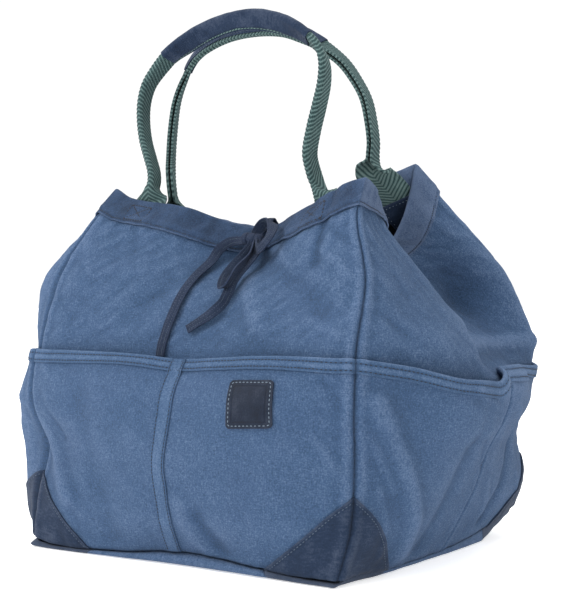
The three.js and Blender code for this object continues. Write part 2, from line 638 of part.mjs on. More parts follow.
// Where the free part of a strap has its rings, as shares of its length: close above each foot,
// wider up each side, even under the grip
const FOOT_STEP = 7;
const FOOT_STEPS = 10;
const CLIMB_STEPS = 5;
const GRIP_STEPS = 13;
function ringStops(handle, length) {
  const spread = (from, to, steps) => Array.from({ length: steps }, (_, i) => mix(from, to, i / steps));
  const foot = (FOOT_STEP * FOOT_STEPS) / length;
  return {
    before: [
      ...spread(FOOT_STEP / length, foot, FOOT_STEPS - 1), ...spread(foot, handle.gripFrom, CLIMB_STEPS),
    ],
    grip: [...spread(handle.gripFrom, handle.gripTo, GRIP_STEPS), handle.gripTo],
    after: [
      ...spread(handle.gripTo, 1 - foot, CLIMB_STEPS).slice(1),
      ...spread(1 - foot, 1 - FOOT_STEP / length, FOOT_STEPS - 1), 1 - FOOT_STEP / length,
    ],
  };
}

// One ring of the webbing about a place: width along w, folded towards d by the angle
function webbingRing(place, w, d, fold) {
  const half = WEBBING_WIDTH / 2;
  const share = fold / (Math.PI / 2);
  const bight = mix(half / 2, FOLD_BIGHT, share);
  const arm = half - bight;
  const shift = (arm / 2) * Math.sin(fold);
  const turn = fold / 2;
  const thick = WEBBING / 2;
  const middle = [-2, -1, 0, 1, 2].map((k) => {
    const s = Math.sign(k);
    const far = Math.abs(k) === 2 ? arm : 0;
    const x = s * (bight + far * Math.cos(fold));
    const y = far * Math.sin(fold) - shift;
    const tilt = k === 0 ? 0 : Math.abs(k) === 2 ? fold : turn;
    const reach = Math.abs(k) === 1 ? thick / Math.cos(turn) : thick;
    return { x, y, nx: s * Math.sin(tilt) * reach, ny: -Math.cos(tilt) * reach };
  });
  const at = (x, y) => place.clone().addScaledVector(w, x).addScaledVector(d, y);
  const outside = middle.map((m) => at(m.x + m.nx, m.y + m.ny));
  const inside = middle.map((m) => at(m.x - m.nx, m.y - m.ny));
  return [...outside, ...inside.reverse()];
}

// A place inside a panel, measured from its grid's facets
function insidePanel(name, u, level, distance) {
  let i = 0;
  while (i < CELLS - 1 && u > ACROSS[i + 1]) i += 1;
  const column = (at) => {
    const levels = panelLevels(name, at);
    let j = 0;
    while (j < levels.length - 2 && level > levels[j + 1]) j += 1;
    const rise = (level - levels[j]) / (levels[j + 1] - levels[j]);
    return offPanel(name, at, levels[j], distance).lerp(offPanel(name, at, levels[j + 1], distance), rise);
  };
  return column(ACROSS[i]).lerp(column(ACROSS[i + 1]), (u - ACROSS[i]) / (ACROSS[i + 1] - ACROSS[i]));
}

// One ring of a strap sewn flat inside a panel; sense is the way its width runs across
function sewnRing(name, foot, level, sense) {
  const stations = [-2, -1, 0, 1, 2].map((k) => foot + (sense * k * WEBBING_WIDTH) / 4 / RIM_WIDTH);
  const face = (distance) => stations.map((u) => insidePanel(name, u, level, distance));
  return [...face(-STRAP_DEPTH + WEBBING / 2), ...face(-STRAP_DEPTH - WEBBING / 2).reverse()];
}

function handleParts(name) {
  const handle = HANDLES[name];
  const rim = (foot) => offPanel(name, foot, 0.995, -STRAP_DEPTH - RIM_ROOM);
  const line = new THREE.CatmullRomCurve3([rim(handle.left), ...handle.arch.map(vector), rim(handle.right)]);
  const length = line.getLength();
  const inward = vector(SIDES[name].outward).negate();
  const frameAt = (t) => {
    const place = line.getPointAt(t);
    const tangent = line.getTangentAt(t);
    const rise = Math.min(t, 1 - t) * length;
    const centre = new THREE.Vector3(ARCH_CENTRE.x, place.y, ARCH_CENTRE.z).sub(place).normalize();
    const share = smooth((rise - TURN_RISE[0]) / (TURN_RISE[1] - TURN_RISE[0]));
    const leaning = inward.clone();
    leaning.x += handle.lean[t < 0.5 ? 0 : 1];
    const d = leaning.normalize().multiplyScalar(1 - share).addScaledVector(centre, share);
    d.addScaledVector(tangent, -d.dot(tangent)).normalize();
    const w = tangent.clone().cross(d).normalize();
    const fold = (Math.PI / 2) * smooth((rise - handle.foldFrom[t < 0.5 ? 0 : 1]) / FOLD_LENGTH);
    return { place, d, w, fold };
  };
  return { handle, frameAt, stops: ringStops(handle, length) };
}

function strap(name) {
  const { handle, frameAt, stops } = handleParts(name);
  const up = SEWN_LEVELS.map((level) => sewnRing(name, handle.left, level, -1));
  const down = [...SEWN_LEVELS].reverse().map((level) => sewnRing(name, handle.right, level, 1));
  const free = [...stops.before, ...stops.grip, ...stops.after].map((t) => {
    const { place, d, w, fold } = frameAt(t);
    return webbingRing(place, w, d, fold);
  });
  return loft([...up, ...free, ...down]);
}

// The grip is a sleeve round the folded webbing
const GRIP_ROOM = 0.5;
function grip(name) {
  const { frameAt, stops } = handleParts(name);
  const halfWide = FOLD_BIGHT + WEBBING / 2 + GRIP_ROOM;
  const halfDeep = (WEBBING_WIDTH / 2 - FOLD_BIGHT + WEBBING / 2) / 2 + GRIP_ROOM;
  const ring = (t, extra, round) => {
    const { place, d, w } = frameAt(t);
    const x = halfWide + extra;
    const y = halfDeep + extra;
    const corners = [[x, y - round], [x - round, y], [round - x, y], [-x, y - round]];
    return [...corners, ...corners.map(([a, b]) => [-a, -b])]
      .map(([a, b]) => place.clone().addScaledVector(w, a).addScaledVector(d, b - WEBBING / 4)).reverse();
  };
  const outside = stops.grip.map((t) => ring(t, SUEDE, 2));
  const inside = stops.grip.map((t) => ring(t, 0, 0.7)).reverse();
  return loft([...outside, ...inside], true);
}

// Suede tab over a strap's sewn end
const TAB = { width: 38, bottom: 0.81, top: 0.945 };
function strapTab(name, foot) {
  const cells = 4;
  const face = (distance) => (i, j) => {
    const u = foot + ((i / cells - 0.5) * TAB.width) / RIM_WIDTH;
    return insidePanel(name, u, mix(TAB.bottom, TAB.top, j / cells), distance);
  };
  const outer = -STRAP_DEPTH - WEBBING / 2 - GAP - 0.3;
  return shell(cells, cells, face(outer), face(outer - SUEDE));
}

// The tie lies on the front. x and z give a place on the front's face, lift its distance off it,
// and roll how far its width is turned on edge, in degrees.
const TIE_RUNS = {
  left_tail: [
    { x: 16, z: 299, lift: 12, roll: 0 }, { x: 2, z: 303, lift: 10, roll: 0 }, { x: -9, z: 303, lift: 9, roll: 10 },
    { x: -16, z: 296, lift: 8, roll: 10 }, { x: -18, z: 284, lift: 6, roll: 0 }, { x: -19, z: 268, lift: 5, roll: 0 },
    { x: -20.5, z: 252, lift: 4, roll: 0 }, { x: -22, z: 237, lift: 3.5, roll: 0 }, { x: -23.5, z: 222, lift: 3.2, roll: 0 },
    { x: -24.5, z: 211, lift: 3, roll: 0 }, { x: -25, z: 203, lift: 2.6, roll: 0 }, { x: -25, z: 195, lift: 2.4, roll: 0 },
  ],
  right_tail: [
    { x: 30, z: 299, lift: 13, roll: 0 }, { x: 37, z: 300, lift: 14, roll: 20 }, { x: 41.5, z: 296, lift: 13, roll: 20 },
    { x: 42, z: 288, lift: 11, roll: 0 }, { x: 41, z: 274, lift: 9, roll: 0 }, { x: 38.5, z: 261, lift: 7.5, roll: 10 },
    { x: 36.5, z: 251, lift: 7, roll: 50 }, { x: 34, z: 243, lift: 7, roll: 60 }, { x: 25, z: 234, lift: 6, roll: 20 },
    { x: 11, z: 226, lift: 4.5, roll: 0 }, { x: 1, z: 219.5, lift: 4.5, roll: 0 },
  ],
  upper_loop: [
    { x: 28, z: 300, lift: 14, roll: 90 }, { x: 26, z: 309, lift: 14, roll: 90 }, { x: 31, z: 317, lift: 14, roll: 90 },
    { x: 41, z: 319, lift: 12.5, roll: 80 }, { x: 52, z: 316, lift: 13, roll: 50 }, { x: 63, z: 309, lift: 14, roll: 30 },
    { x: 67, z: 300, lift: 15, roll: 20 }, { x: 59, z: 293, lift: 15, roll: 20 }, { x: 48, z: 293, lift: 14, roll: 30 },
    { x: 34, z: 298, lift: 14, roll: 40 },
  ],
  lower_loop: [
    { x: 27, z: 297, lift: 12, roll: 60 }, { x: 25, z: 285, lift: 11, roll: 60 }, { x: 23, z: 272, lift: 9, roll: 50 },
    { x: 23, z: 262, lift: 9, roll: 40 }, { x: 29, z: 254.5, lift: 10, roll: 40 }, { x: 39, z: 257, lift: 12, roll: 60 },
    { x: 42, z: 267, lift: 13, roll: 70 }, { x: 38, z: 280, lift: 13, roll: 70 }, { x: 30, z: 297, lift: 13, roll: 60 },
  ],
};
const KNOT = { x: 24, z: 299, lift: 13.5, halfLong: 13, halfHigh: 6.5, halfDeep: 5.5, lean: -8 };

// The place on the front's middle surface that has the given x and z
function onFront(x, z) {
  let u = 0.5;
  let level = 0.75;
  for (let step = 0; step < 30; step += 1) {
    const here = panelPoint('front', u, level);
    const du = panelPoint('front', u + 0.002, level).sub(here).multiplyScalar(500);
    const dv = panelPoint('front', u, level + 0.002).sub(here).multiplyScalar(500);
    const ex = x - here.x;
    const ez = z - here.z;
    const det = du.x * dv.z - du.z * dv.x;
    u += (ex * dv.z - ez * dv.x) / det;
    level += (du.x * ez - du.z * ex) / det;
  }
  return { u, level };
}
function liftedFront(x, z, lift) {
  const { u, level } = onFront(x, z);
  const normal = rawNormal('front', u, Math.min(level, 0.98));
  return { place: panelPoint('front', u, level).addScaledVector(normal, lift), normal };
}

function tieRun(rows, steps) {
  const lifted = rows.map((row) => liftedFront(row.x, row.z, row.lift + CANVAS / 2));
  const line = new THREE.CatmullRomCurve3(lifted.map((l) => l.place), false, 'centripetal');
  const rings = [];
  for (let i = 0; i <= steps; i += 1) {
    const t = i / steps;
    const k = t * (rows.length - 1);
    const a = Math.min(rows.length - 2, Math.floor(k));
    const roll = THREE.MathUtils.degToRad(mix(rows[a].roll, rows[a + 1].roll, k - a));
    const normal = lifted[a].normal.clone().lerp(lifted[a + 1].normal, k - a).normalize();
    const place = line.getPoint(t);
    const tangent = line.getTangent(t);
    normal.addScaledVector(tangent, -normal.dot(tangent)).normalize();
    const side = tangent.clone().cross(normal);
    const w = side.clone().multiplyScalar(Math.cos(roll)).addScaledVector(normal, Math.sin(roll));
    const d = tangent.clone().cross(w);
    const corner = (x, y) => place.clone().addScaledVector(w, (x * TIE_WIDTH) / 2).addScaledVector(d, (y * TIE_CLOTH) / 2);
    rings.push([corner(-1, -1), corner(1, -1), corner(1, 1), corner(-1, 1)]);
  }
  return loft(rings);
}

// The knot: a short roll with three turns of cloth round it
function knot() {
  const { place, normal } = liftedFront(KNOT.x, KNOT.z, KNOT.lift + CANVAS / 2);
  const lean = THREE.MathUtils.degToRad(KNOT.lean);
  const along = new THREE.Vector3(Math.cos(lean), 0, Math.sin(lean));
  const across = normal.clone().cross(along).normalize();
  const rings = [];
  const steps = 12;
  for (let i = 0; i <= steps; i += 1) {
    const t = mix(-1, 1, i / steps);
    const size = Math.sqrt(Math.max(0.05, 1 - t ** 4)) * (1 + 0.1 * Math.cos(t * 3 * Math.PI));
    rings.push(Array.from({ length: 10 }, (_, k) => {
      const angle = (k / 10) * 2 * Math.PI;
      return place.clone().addScaledVector(along, t * KNOT.halfLong)
        .addScaledVector(across, Math.cos(angle) * KNOT.halfHigh * size)
        .addScaledVector(normal, Math.sin(angle) * KNOT.halfDeep * size);
    }));
  }
  return loft(rings);
}

// The strip that comes out of the mouth to the knot, from the back's band
function mouthStrip() {
  const front = onFront(26, 315);
  const rim = offPanel('front', front.u, 1, CANVAS / 2 + BAND_GAP + BAND_CLOTH + 3);
  const anchor = offPanel('back', 0.41, 0.95, -CANVAS / 2 - 5);
  const places = [
    liftedFront(KNOT.x + 2, KNOT.z + 1, KNOT.lift).place, rim, rim.clone().add(new THREE.Vector3(0, 6, 6)),
    rim.clone().add(new THREE.Vector3(0, 15, 0)), rim.clone().lerp(anchor, 0.55).add(new THREE.Vector3(0, 0, -12)),
    anchor.clone().add(new THREE.Vector3(0, -7, -4)), anchor.clone().add(new THREE.Vector3(0, 0, 4)),
  ];
  const line = new THREE.CatmullRomCurve3(places, false, 'centripetal');
  const w = new THREE.Vector3(1, 0, 0);
  const rings = [];
  const steps = 18;
  for (let i = 0; i <= steps; i += 1) {
    const place = line.getPoint(i / steps);
    const d = line.getTangent(i / steps).cross(w).normalize();
    const corner = (x, y) => place.clone().addScaledVector(w, (x * TIE_WIDTH) / 2).addScaledVector(d, (y * TIE_CLOTH) / 2);
    rings.push([corner(-1, -1), corner(1, -1), corner(1, 1), corner(-1, 1)]);
  }
  return loft(rings);
}

function tieBow() {
  const steps = { left_tail: 22, right_tail: 22, upper_loop: 20, lower_loop: 18 };
  let whole = solidOf(knot());
  for (const [name, rows] of Object.entries(TIE_RUNS)) whole = whole.add(solidOf(tieRun(rows, steps[name])));
  return geometryFrom(whole.add(solidOf(mouthStrip())));
}

addBase();
for (const name of SIDE_ORDER) {
  add(`${name}_panel`, panel(name), canvas);
  add(`${name}_pocket`, pocket(name), canvas);
  add(`${name}_binding`, pocketBinding(name), binding);
  add(`${name}_left_patch`, cornerPatch(name, true), suede);
  add(`${name}_right_patch`, cornerPatch(name, false), suede);
}
add('front_divider', divider('front'), binding);
add('back_divider', divider('back'), binding);
add('label', label(), leather);
add('top_band', topBand(), canvas);
for (const name of ['front', 'back']) {
  add(`${name}_strap`, strap(name), webbing);
  add(`${name}_grip`, grip(name), suede);
  add(`${name}_left_tab`, strapTab(name, HANDLES[name].left), suede);
  add(`${name}_right_tab`, strapTab(name, HANDLES[name].right), suede);
}
add('tie', tieBow(), tieCloth);

export default bag;
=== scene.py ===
import math

import bmesh
import bpy
import numpy as np
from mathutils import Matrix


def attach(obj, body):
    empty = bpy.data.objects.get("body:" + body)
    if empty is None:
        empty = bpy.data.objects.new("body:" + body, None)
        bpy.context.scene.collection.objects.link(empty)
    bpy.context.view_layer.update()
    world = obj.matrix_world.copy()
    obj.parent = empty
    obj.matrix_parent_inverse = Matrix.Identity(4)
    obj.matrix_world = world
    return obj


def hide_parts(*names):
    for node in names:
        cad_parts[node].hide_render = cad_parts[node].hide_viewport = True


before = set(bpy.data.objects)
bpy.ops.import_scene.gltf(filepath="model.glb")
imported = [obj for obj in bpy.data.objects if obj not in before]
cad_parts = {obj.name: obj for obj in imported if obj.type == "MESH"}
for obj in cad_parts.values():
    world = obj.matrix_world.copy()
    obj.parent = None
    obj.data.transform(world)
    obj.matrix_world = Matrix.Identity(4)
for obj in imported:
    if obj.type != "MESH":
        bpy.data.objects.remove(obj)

bl_info = {
    "name": "Canvas Tote Bag",
    "version": (1, 0, 0),
    "blender": (4, 5, 0),
    "location": "View3D > Sidebar > Tote Bag",
    "description": "Washed canvas tote bag with pockets all round, webbing handles and a cloth tie",
    "category": "Object",
}

# Places and sizes below are in millimetres. The front faces -Y.
MM = 0.001

# Thicknesses of the cloths, and the gaps between them
CANVAS = 1.6
POCKET_CLOTH = 1.6
BINDING_CLOTH = 1.1
SUEDE = 1.3
GRIP_SUEDE = 1.0
BAND_CLOTH = 1.4
WEBBING = 2.4
TIE_CLOTH = 1.5
BASE_CLOTH = 1.8
GAP = 0.5

# From a panel's middle to the band's outer face, and to the middle of its inner flap
BAND_FACE = CANVAS / 2 + 2.8
BAND_BACK = -CANVAS / 2 - 0.75

# Widths, and the panels' height
PANEL_WIDTH = 366
PANEL_HEIGHT = 400
RIM_WIDTH = 330
BINDING_WIDTH = 13.5
DIVIDER_WIDTH = 16
WEBBING_WIDTH = 38
TIE_WIDTH = 10
BAND_FACING = 27

# Heights on the cloth, up from the bottom seam
LEVELS = np.array([0, 0.12, 0.26, 0.4, 0.55, 0.73, 0.92, 1]) * PANEL_HEIGHT
BAND_FOOT = 0.92 * PANEL_HEIGHT
PANEL_TOP = 0.985 * PANEL_HEIGHT
RIM = PANEL_HEIGHT

# The corner seams, x, y and z at each of the levels
CORNER_SEAMS = {
    "frontLeft": [
        (-182, -175, 7), (-183, -166, 50), (-182, -153, 97), (-191, -167, 147),
        (-190, -160, 198), (-182, -144, 265), (-164, -100, 338), (-158, -76, 364),
    ],
    "frontRight": [
        (177, -176, 3), (185, -166, 52), (187, -163, 100), (188, -166, 150),
        (186, -159, 200), (177, -127, 262), (155, -103, 334), (154, -89, 360),
    ],
    "backRight": [
        (184, 166, 30), (190, 174, 64), (188, 160, 108), (194, 180, 150),
        (192, 178, 196), (184, 146, 270), (147, 70, 358), (132, 48, 385),
    ],
    "backLeft": [
        (-178, 160, 10), (-184, 160, 52), (-187, 152, 100), (-190, 142, 150),
        (-186, 122, 198), (-176, 80, 262), (-154, -14, 326), (-148, -40, 348),
    ],
}

# How each panel departs from the straight line between its corner seams. A row is a level, a
# column a station across the panel from its left seam, seen from outside.
SIDES = {
    "front": {
        "seams": ("frontLeft", "frontRight"), "outward": (0, -1, 0), "across": (1, 0, 0),
        "stations": (0.07, 0.27, 0.56, 0.77, 0.93),
        "out": [
            (0, -1, -2, -1, 0), (9, 23, 29, 24, 10), (13, 34, 42, 34, 15), (10, 22, 27, 24, 11),
            (7, 8, 7, 8, 7), (6, 7, 2, 6, 6), (3, 2, -22, -4, 1), (3, 4, -25, -14, 1),
        ],
        "rise": [
            (-4, -2, 7, 3, 0), (0, 0, 0, 0, 0), (0, 0, 0, 0, 0), (0, 0, 0, 0, 0),
            (0, -1, -2, 0, 0), (0, -6, -16, -8, 0), (-9, -20, -43, -28, -8), (-11, -19, -44, -24, -7),
        ],
        "along": [
            (0, 0, 0, 0, 0), (0, 1, 1, 0, 0), (0, -3, -3, -1, 0), (0, 6, 6, 2, 0),
            (0, 6, 6, 2, 0), (0, 3, 3, 1, 0), (0, 0, 0, 0, 0), (0, 0, 0, 0, 0),
        ],
    },
    "right": {
        "seams": ("frontRight", "backRight"), "outward": (1, 0, 0), "across": (0, 1, 0),
        "stations": (0.07, 0.27, 0.4, 0.5, 0.73, 0.93),
        "out": [
            (2, 5, 6, 6, 5, 2), (10, 26, 27, 26, 22, 10), (14, 42, 45, 46, 32, 10),
            (14, 48, 53, 57, 38, 11), (16, 46, 47, 26, 16, 22), (9, 17, 6, -34, -34, 13),
            (2, 2, -26, -52, -20, 1), (2, 0, -33, -62, -27, -2),
        ],
        "rise": [
            (0, -7, -10, -12, -11, -6), (0, 0, 0, 0, 0, 0), (0, 0, 0, 0, 0, 0),
            (0, 0, 0, 0, 0, 0), (0, 0, 0, 0, 0, 0), (0, -4, -12, -20, -14, 0),
            (-5, -22, -56, -82, -56, -20), (-8, -37, -68, -92, -74, -26),
        ],
        "along": [
            (0, 0, 0, 0, 0, 0), (0, 0, 0, 0, 0, 0), (0, 0, 0, 0, 0, 0),
            (0, 0, 0, 0, 0, 0), (0, 0, 0, 0, 0, 0), (0, 4, 12, 20, 12, 0),
            (0, 0, 11, 20, 24, 2), (0, 2, 12, 20, 18, 2),
        ],
    },
    "back": {
        "seams": ("backRight", "backLeft"), "outward": (0, 1, 0), "across": (-1, 0, 0),
        "stations": (0.07, 0.27, 0.5, 0.73, 0.93),
        "out": [
            (0, -2, -3, -2, 0), (10, 23, 30, 24, 10), (12, 32, 41, 33, 12), (10, 27, 35, 28, 11),
            (8, 17, 21, 18, 8), (4, -4, -8, -2, 4), (-6, -10, 6, -8, -6), (-10, -14, 4, -12, -12),
        ],
        "rise": [
            (-2, -6, -6, -4, 0), (0, 0, 0, 0, 0), (0, 0, 0, 0, 0), (0, 0, 0, 0, 0),
            (0, -1, -2, -1, 0), (0, -6, -12, -6, 0), (-9, -26, -42, -24, -5), (-8, -28, -44, -24, -4),
        ],
        "along": None,
    },
    "left": {
        "seams": ("backLeft", "frontLeft"), "outward": (-1, 0, 0), "across": (0, -1, 0),
        "stations": (0.07, 0.27, 0.5, 0.73, 0.93),
        "out": [
            (2, 5, 7, 11, 9), (12, 34, 44, 52, 39), (14, 42, 54, 62, 50), (14, 40, 50, 52, 37),
            (14, 37, 43, 40, 19), (6, 2, -14, 24, 30), (-6, -32, -52, -25, 11), (-5, -28, -46, -30, 0),
        ],
        "rise": [
            (0, -4, -4, -2, 0), (0, 0, 0, 0, 0), (0, 0, 0, 0, 0), (0, 0, 0, 0, 0),
            (0, 0, 0, 0, 0), (0, -8, -16, -6, 0), (-8, -40, -60, -36, -6), (-6, -40, -64, -44, -10),
        ],
        "along": None,
    },
}
SIDE_ORDER = ("front", "right", "back", "left")

# Each pocket's top edge at the stations, as a share of the panel's height, how far its two
# compartments gape there, and the power that moves each belly towards one side
MOUTH_STATIONS = (0, 0.12, 0.27, 0.42, 0.5, 0.58, 0.8, 1)
POCKETS = {
    "front": {"mouth": (0.54, 0.537, 0.531, 0.523, 0.52, 0.52, 0.528, 0.53),
              "gape": (8, 5), "skew": (1.6, 1)},
    "right": {"mouth": (0.53, 0.508, 0.468, 0.456, 0.486, 0.482, 0.486, 0.5),
              "gape": (14, 4), "skew": (1.5, 0.7)},
    "back": {"mouth": (0.5, 0.515, 0.525, 0.53, 0.538, 0.532, 0.54, 0.55),
             "gape": (7, 7), "skew": (1.1, 0.9)},
    "left": {"mouth": (0.55, 0.538, 0.518, 0.512, 0.53, 0.515, 0.528, 0.54),
             "gape": (9, 9), "skew": (1.2, 0.6)},
}

# The gap behind a pocket low down and at its mouth, and the line between its compartments.
# On two sides a divider strip covers that line, on the others it is only sewn.
POCKET_SEAM_GAP = 0.5
POCKET_MOUTH_GAP = 2.5
DIVIDER_X = PANEL_WIDTH / 2
DIVIDED = ("front", "back")
SEWN_THROUGH = ("right", "left")

# Folds in the cloth: side, start, end, height of the ridge (below 0 a trough) and its half width.
# Starts and ends are shares of the panel's width and height.
FOLDS = [
    ("front", (0.01, 0.35), (0.14, 0.13), 5, 11), ("front", (0.20, 0.40), (0.30, 0.05), -3, 16),
    ("front", (0.60, 0.00), (0.55, 0.14), 4, 12), ("front", (0.67, 0.01), (0.60, 0.11), -4, 10),
    ("front", (0.60, 0.93), (0.90, 0.66), -5, 15), ("front", (0.58, 0.90), (0.72, 0.62), 4, 13),
    ("front", (0.50, 0.90), (0.30, 0.66), -4, 16), ("front", (0.90, 0.99), (0.86, 0.80), -5, 8),
    ("right", (0.04, 0.42), (0.24, 0.02), 5, 10), ("right", (0.36, 0.30), (0.33, 0.03), -4, 14),
    ("right", (0.80, 0.34), (0.70, 0.05), -5, 12), ("right", (0.48, 0.572), (0.95, 0.575), 5, 10),
    ("right", (0.46, 0.465), (0.66, 0.47), 8, 20),
    ("back", (0.10, 0.36), (0.22, 0.06), 4, 12), ("back", (0.48, 0.92), (0.20, 0.62), -5, 17),
    ("back", (0.52, 0.92), (0.84, 0.62), -5, 17), ("left", (0.95, 0.30), (0.78, 0.05), 5, 12),
    ("left", (0.30, 0.50), (0.22, 0.08), -4, 16), ("left", (0.93, 0.61), (0.92, 0.72), 5, 15),
]

# Smaller creases that the washed cloth keeps, in the same columns
CREASES = [
    ("front", (0.02, 0.30), (0.10, 0.20), 1.6, 4), ("front", (0.05, 0.42), (0.12, 0.30), -1.4, 5),
    ("front", (0.12, 0.16), (0.20, 0.08), 1.2, 5), ("front", (0.03, 0.52), (0.09, 0.46), 1.0, 4),
    ("front", (0.91, 0.34), (0.98, 0.24), 1.2, 4), ("front", (0.93, 0.48), (0.985, 0.40), -1.2, 4),
    ("front", (0.84, 0.88), (0.97, 0.74), 1.3, 5), ("front", (0.90, 0.90), (0.985, 0.82), -1.2, 4),
    ("front", (0.86, 0.64), (0.985, 0.58), 1.2, 4), ("front", (0.015, 0.86), (0.12, 0.76), 1.2, 5),
    ("front", (0.02, 0.70), (0.10, 0.64), -1.0, 4), ("front", (0.32, 0.91), (0.40, 0.80), 1.0, 5),
    ("front", (0.72, 0.91), (0.80, 0.78), 1.1, 5), ("front", (0.18, 0.90), (0.25, 0.80), -0.9, 5),
    ("right", (0.03, 0.34), (0.10, 0.20), 1.6, 4), ("right", (0.06, 0.20), (0.13, 0.04), 1.3, 4),
    ("right", (0.30, 0.44), (0.42, 0.40), 1.0, 5), ("right", (0.44, 0.30), (0.49, 0.22), -1.3, 4),
    ("right", (0.55, 0.40), (0.70, 0.34), 1.1, 5), ("right", (0.58, 0.16), (0.66, 0.06), 1.4, 5),
    ("right", (0.86, 0.30), (0.97, 0.22), 1.4, 4), ("right", (0.84, 0.14), (0.93, 0.05), 1.3, 4),
    ("right", (0.05, 0.86), (0.16, 0.72), 1.2, 5), ("right", (0.03, 0.66), (0.13, 0.60), -1.2, 4),
    ("back", (0.04, 0.32), (0.12, 0.20), 1.5, 4), ("back", (0.86, 0.36), (0.97, 0.26), 1.4, 4),
    ("back", (0.44, 0.34), (0.36, 0.24), 1.2, 5), ("back", (0.60, 0.14), (0.66, 0.04), 1.3, 5),
    ("back", (0.06, 0.84), (0.18, 0.72), 1.3, 5), ("back", (0.84, 0.70), (0.95, 0.80), 1.2, 5),
    ("left", (0.04, 0.30), (0.13, 0.18), 1.4, 4), ("left", (0.88, 0.16), (0.96, 0.05), 1.4, 4),
    ("left", (0.56, 0.34), (0.62, 0.22), 1.2, 5), ("left", (0.86, 0.44), (0.97, 0.38), 1.2, 4),
    ("left", (0.86, 0.86), (0.97, 0.72), 1.2, 5), ("left", (0.05, 0.72), (0.16, 0.62), 1.2, 5),
]

# Base: its flat width, how far in its edge curls up to the seams, and how much that lifts them
BASE_SPAN = 350
BASE_CURL = 9
BASE_ROLL = 3
# How far the curl stands out on each side, how softly one side goes over into the next there,
# the height of a seam from which the curl starts further in, and the legs of the suede corners
BASE_LIP = {"front": 9, "right": 0, "back": 6, "left": 10}
BASE_TURN = 16
BASE_BEND = 12
BASE_FOOT = 76
# The side whose left seam stands on each corner of the base
CORNER_SIDES = {"frontLeft": "front", "frontRight": "right", "backRight": "back", "backLeft": "left"}

# Suede triangles in the pockets' bottom corners: legs, distance off the cloth, and sag
PATCH_FOOT = 78
PATCH_HEIGHT = 76
PATCH_GAP = 0.5
PATCH_SAG = 2.6

# The label: x and z of its middle, its size, lean in degrees, and the radius of its corners
LABEL = {"x": 98.5, "z": 155.5, "width": 45, "height": 44, "lean": 3.5, "thickness": 1.6, "corner": 4}

# Handles: where each strap is sewn across its panel, where the grip lies along it, the lean of
# the fold, how far above the rim the fold starts, and the middle line of the free strap
HANDLES = {
    "front": {
        "feet": (0.146, 0.828), "grip": (0.32, 0.665), "lean": (-0.2, 0), "fold_from": (2, -3),
        "arch": [
            (-115, -75, 360), (-114, -71, 374), (-116, -69, 385), (-121, -69, 400),
            (-128, -68, 419), (-131, -68, 440), (-130, -68, 459), (-124, -68, 476),
            (-112, -68, 490), (-95, -68, 504), (-75, -68, 514), (-51, -68, 523),
            (-26, -68, 529), (3, -68, 531), (30, -68, 527), (53, -68, 519), (73, -68, 508),
            (89, -68, 495), (96, -69, 480), (96, -69, 461), (91, -70, 438), (85, -71, 415),
            (82, -73, 392), (83, -70, 378), (86, -64, 361),
        ],
    },
    "back": {
        "feet": (0.857, 0.107), "grip": (0.32, 0.665), "lean": (0.5, 0.1), "fold_from": (-2, 10),
        "arch": [
            (-104, -51, 357), (-106, -52, 378), (-111, -46, 396), (-111, -43, 429),
            (-107, -41, 461), (-99, -39, 483), (-86, -36, 506), (-67, -33, 520),
            (-43, -30, 529), (-13, -26, 532), (19, -22, 528), (42, -18, 518), (62, -15, 506),
            (83, -12, 489), (96, -9, 471), (106, -6, 451), (110, -3, 429), (110, 2, 408),
            (107, 6, 396), (102, 14, 379),
        ],
    },
}

# The webbing's fold: the half width of its bend, the length over which it closes, the stretch
# over which it turns towards the middle of the loop, and x and z of that middle
FOLD_BIGHT = 2.2
FOLD_LENGTH = 24
TURN_RISE = (90, 300)
ARCH_CENTRE = (-15, 425)

# The straps' sewn ends: how far in from the panel's middle, the room that they leave at the rim,
# and their levels as shares of the panel's height
STRAP_DEPTH = CANVAS / 2 + 1.5 + WEBBING / 2
RIM_ROOM = 2.2
SEWN_LEVELS = (0.85, 0.885, 0.92, 0.955, 0.985)

# The suede over them: its width, its levels in the same shares, and how far in it starts
TAB = {"width": 38, "bottom": 0.81, "top": 0.945}
TAB_DEPTH = -STRAP_DEPTH - WEBBING / 2 - GAP - 0.3

# The herringbone's ribs: how far apart, and how steep beside the webbing's middle
RIB_PITCH = 4.3
RIB_SLOPE = 0.75

# The grip's suede: half the girth that it covers, from the fold's back to its edge, the room
# inside it, and how far along the arms the front grip's edges come together
GRIP_GIRTH = {"front": 23.2, "back": 18.5}
GRIP_ROOM = 0.25
GRIP_ARM = 14.2

